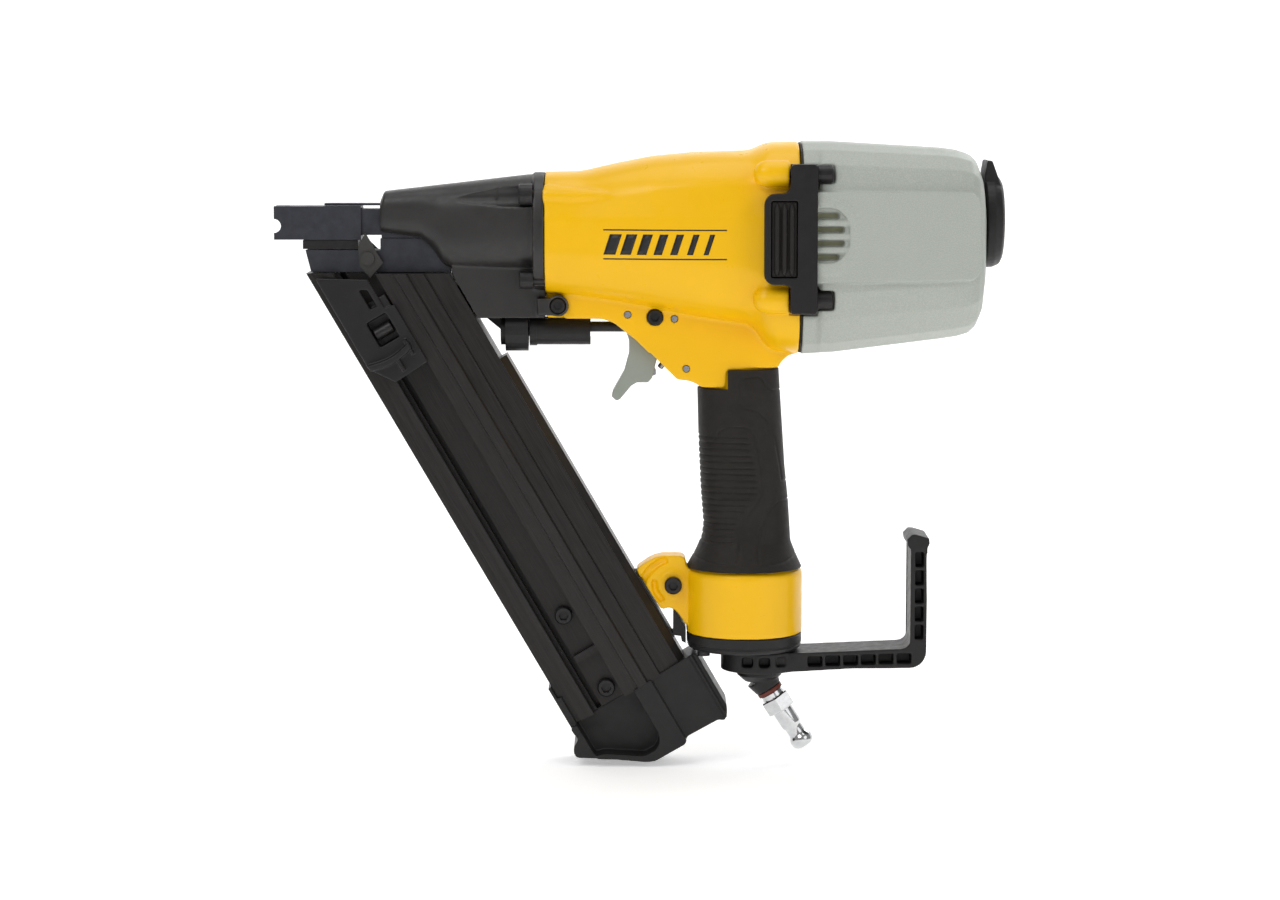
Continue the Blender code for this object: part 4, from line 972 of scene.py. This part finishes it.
PUSHER = [(4.2, 0.6), (31.6, 17.4), (31.6, 37.5), (37.8, 38.4), (37.8, 78.8), (14.4, 80.0), (4.0, 64.6)]
PUSHER_WINDOW = [(17.0, 40.0), (31.0, 40.0), (31.0, 57.0), (17.0, 57.0)]
PUSHER_NOTCH = [(23.6, 20.0), (28.2, 22.6), (28.2, 34.0), (23.6, 34.0)]


def pusher():
    plate = slab("pusher_plate", rounded(PUSHER, 1.2), -23.6, -21.0)
    rest = [(5.2, 62.5)]
    rest += [(5.2 + 29.0 * i / 8, 62.5 + 2.6 * math.sin(math.pi * i / 8)) for i in range(1, 8)]
    rest += [(34.2, 62.5), (34.2, 66.3)]
    rest += [(34.2 - 29.0 * i / 8, 66.3 + 2.6 * math.sin(math.pi * i / 8)) for i in range(1, 8)]
    rest.append((5.2, 66.3))
    carve(plate, add=[
        slab("shoe", [(16.0, 30.0), (35.8, 30.0), (35.8, 76.0), (16.0, 76.0)], -22.0, -13.4),
        slab("tongue", [(17.3, 62.0), (19.7, 62.0), (19.7, 76.0), (17.3, 76.0)], -14.0, 0.0),
        slab("finger", [(4.6, 64.0), (70.0, 64.0), (70.0, 70.0), (4.6, 70.0)], -1.7, 1.7),
        slab("thumb_rest", rest, -31.0, -23.0),
        slab("rib", [(21.6, 66.0), (24.0, 66.0), (24.0, 76.0), (21.6, 76.0)], -26.4, -23.0),
        slab("rib", [(31.6, 60.0), (33.6, 60.0), (33.6, 70.0), (31.6, 70.0)], -28.4, -23.0),
    ], cut=[
        slab("window", rounded(PUSHER_WINDOW, 1.5), -40.0, -15.0),
        slab("side_notch", rounded(PUSHER_NOTCH, 1.0), -40.0, -15.0),
    ])
    soften(plate, 0.45, 3)
    dress(plate, "pusher_unit", FINISH["bracket_black"], ["pusher"])
    x, z = along(24.0, 49.0)
    across = Vector((math.cos(MAGAZINE_TILT), 0, math.sin(MAGAZINE_TILT)))
    spring = lathe("pusher_coil", [(0, 1.4), (0, 3.8), (0.3, 4.0), (10.9, 4.0), (11.2, 3.8), (11.2, 1.4)],
                   Vector((x, -19.6, z)) - across * 5.6, across, 64, hollow=True)
    spring.data.shade_smooth()
    sharp_from_angle(spring, 30)
    dress(spring, "pusher_unit", FINISH["dark_steel"], ["pusher_spring"])


# ---------------------------------------------------------------- stage
WORLD_LIGHT, FLOOR_GLOW = 0.3, 0.38
FLOOR_DROP = 0.0005     # metres of gap under the tool
LIGHTS = (    # name, place in metres, disc size in metres, watts
    ("key", (-0.9, -1.5, 1.5), 1.2, 13.0), ("fill", (1.5, -1.5, 0.6), 1.4, 5.0),
    ("top", (0.1, -0.1, 1.8), 1.6, 12.0), ("rim", (0.9, 1.1, 1.0), 1.0, 6.0),
)
CAMERA_ELEVATION, CAMERA_DISTANCE = math.radians(6.5), 2.0
CAMERA_TARGET = Vector((0.00084, 0.0, 0.00215))
SENSOR_WIDTH, FOCAL_LENGTH = 36.0, 90.73


def stage():
    """A pale floor that curves up into a backdrop, soft lights and the camera."""
    floor_z, back_y, bend, width = cad_box[0].z - FLOOR_DROP, 1.6, 0.8, 4.0
    profile = [(-3.0, floor_z)]
    profile += [(back_y - bend + bend * math.sin(t), floor_z + bend - bend * math.cos(t))
                for t in np.linspace(0, math.pi / 2, 24)]
    profile.append((back_y, floor_z + 3.0))
    shape = bmesh.new()
    rows = [[shape.verts.new((x, y, z)) for y, z in profile] for x in (-width, width)]
    for i in range(len(profile) - 1):
        shape.faces.new((rows[0][i], rows[1][i], rows[1][i + 1], rows[0][i + 1]))
    data = bpy.data.meshes.new("floor")
    shape.to_mesh(data)
    shape.free()
    floor = link("floor", data)
    data.shade_smooth()
    data.materials.append(surface("pale_floor", (0.93, 0.93, 0.93, 1), rough=0.7, patch=400,
                                  patch_tint=0.99, grain=4.0, grain_depth=0.002))
    glow = data.materials[0].node_tree.nodes["Principled BSDF"]
    glow.inputs["Emission Color"].default_value = (1.0, 1.0, 1.0, 1.0)
    glow.inputs["Emission Strength"].default_value = FLOOR_GLOW
    world = bpy.data.worlds.new("studio")
    bpy.context.scene.world = world
    world.use_nodes = True
    world.node_tree.nodes["Background"].inputs["Color"].default_value = (1.0, 1.0, 1.0, 1.0)
    world.node_tree.nodes["Background"].inputs["Strength"].default_value = WORLD_LIGHT
    for name, spot, size, power in LIGHTS:
        lamp = bpy.data.lights.new(name, "AREA")
        lamp.shape = "DISK"
        lamp.size = size
        lamp.energy = power
        holder = bpy.data.objects.new(name, lamp)
        bpy.context.scene.collection.objects.link(holder)
        holder.location = spot
        holder.rotation_mode = "QUATERNION"
        holder.rotation_quaternion = (-Vector(spot)).to_track_quat("-Z", "Y")


def camera():
    lens = bpy.data.cameras.new("camera")
    lens.sensor_width = SENSOR_WIDTH
    lens.lens = FOCAL_LENGTH
    lens.clip_start, lens.clip_end = 0.05, 20.0
    eye = bpy.data.objects.new("camera", lens)
    bpy.context.scene.collection.objects.link(eye)
    back = Vector((0.0, -math.cos(CAMERA_ELEVATION), math.sin(CAMERA_ELEVATION)))
    eye.location = CAMERA_TARGET + back * CAMERA_DISTANCE
    eye.rotation_mode = "QUATERNION"
    eye.rotation_quaternion = (-back).to_track_quat("-Z", "Y")
    bpy.context.scene.camera = eye
    bpy.context.scene.view_settings.view_transform = "Standard"


def main():
    finish_cad_nodes()
    housing()
    grip()
    nose_casting()
    cap_parts()
    deflector()
    trigger_piece()
    base_parts()
    hook()
    inlet_parts()
    magazine()
    stage()
    camera()


main()
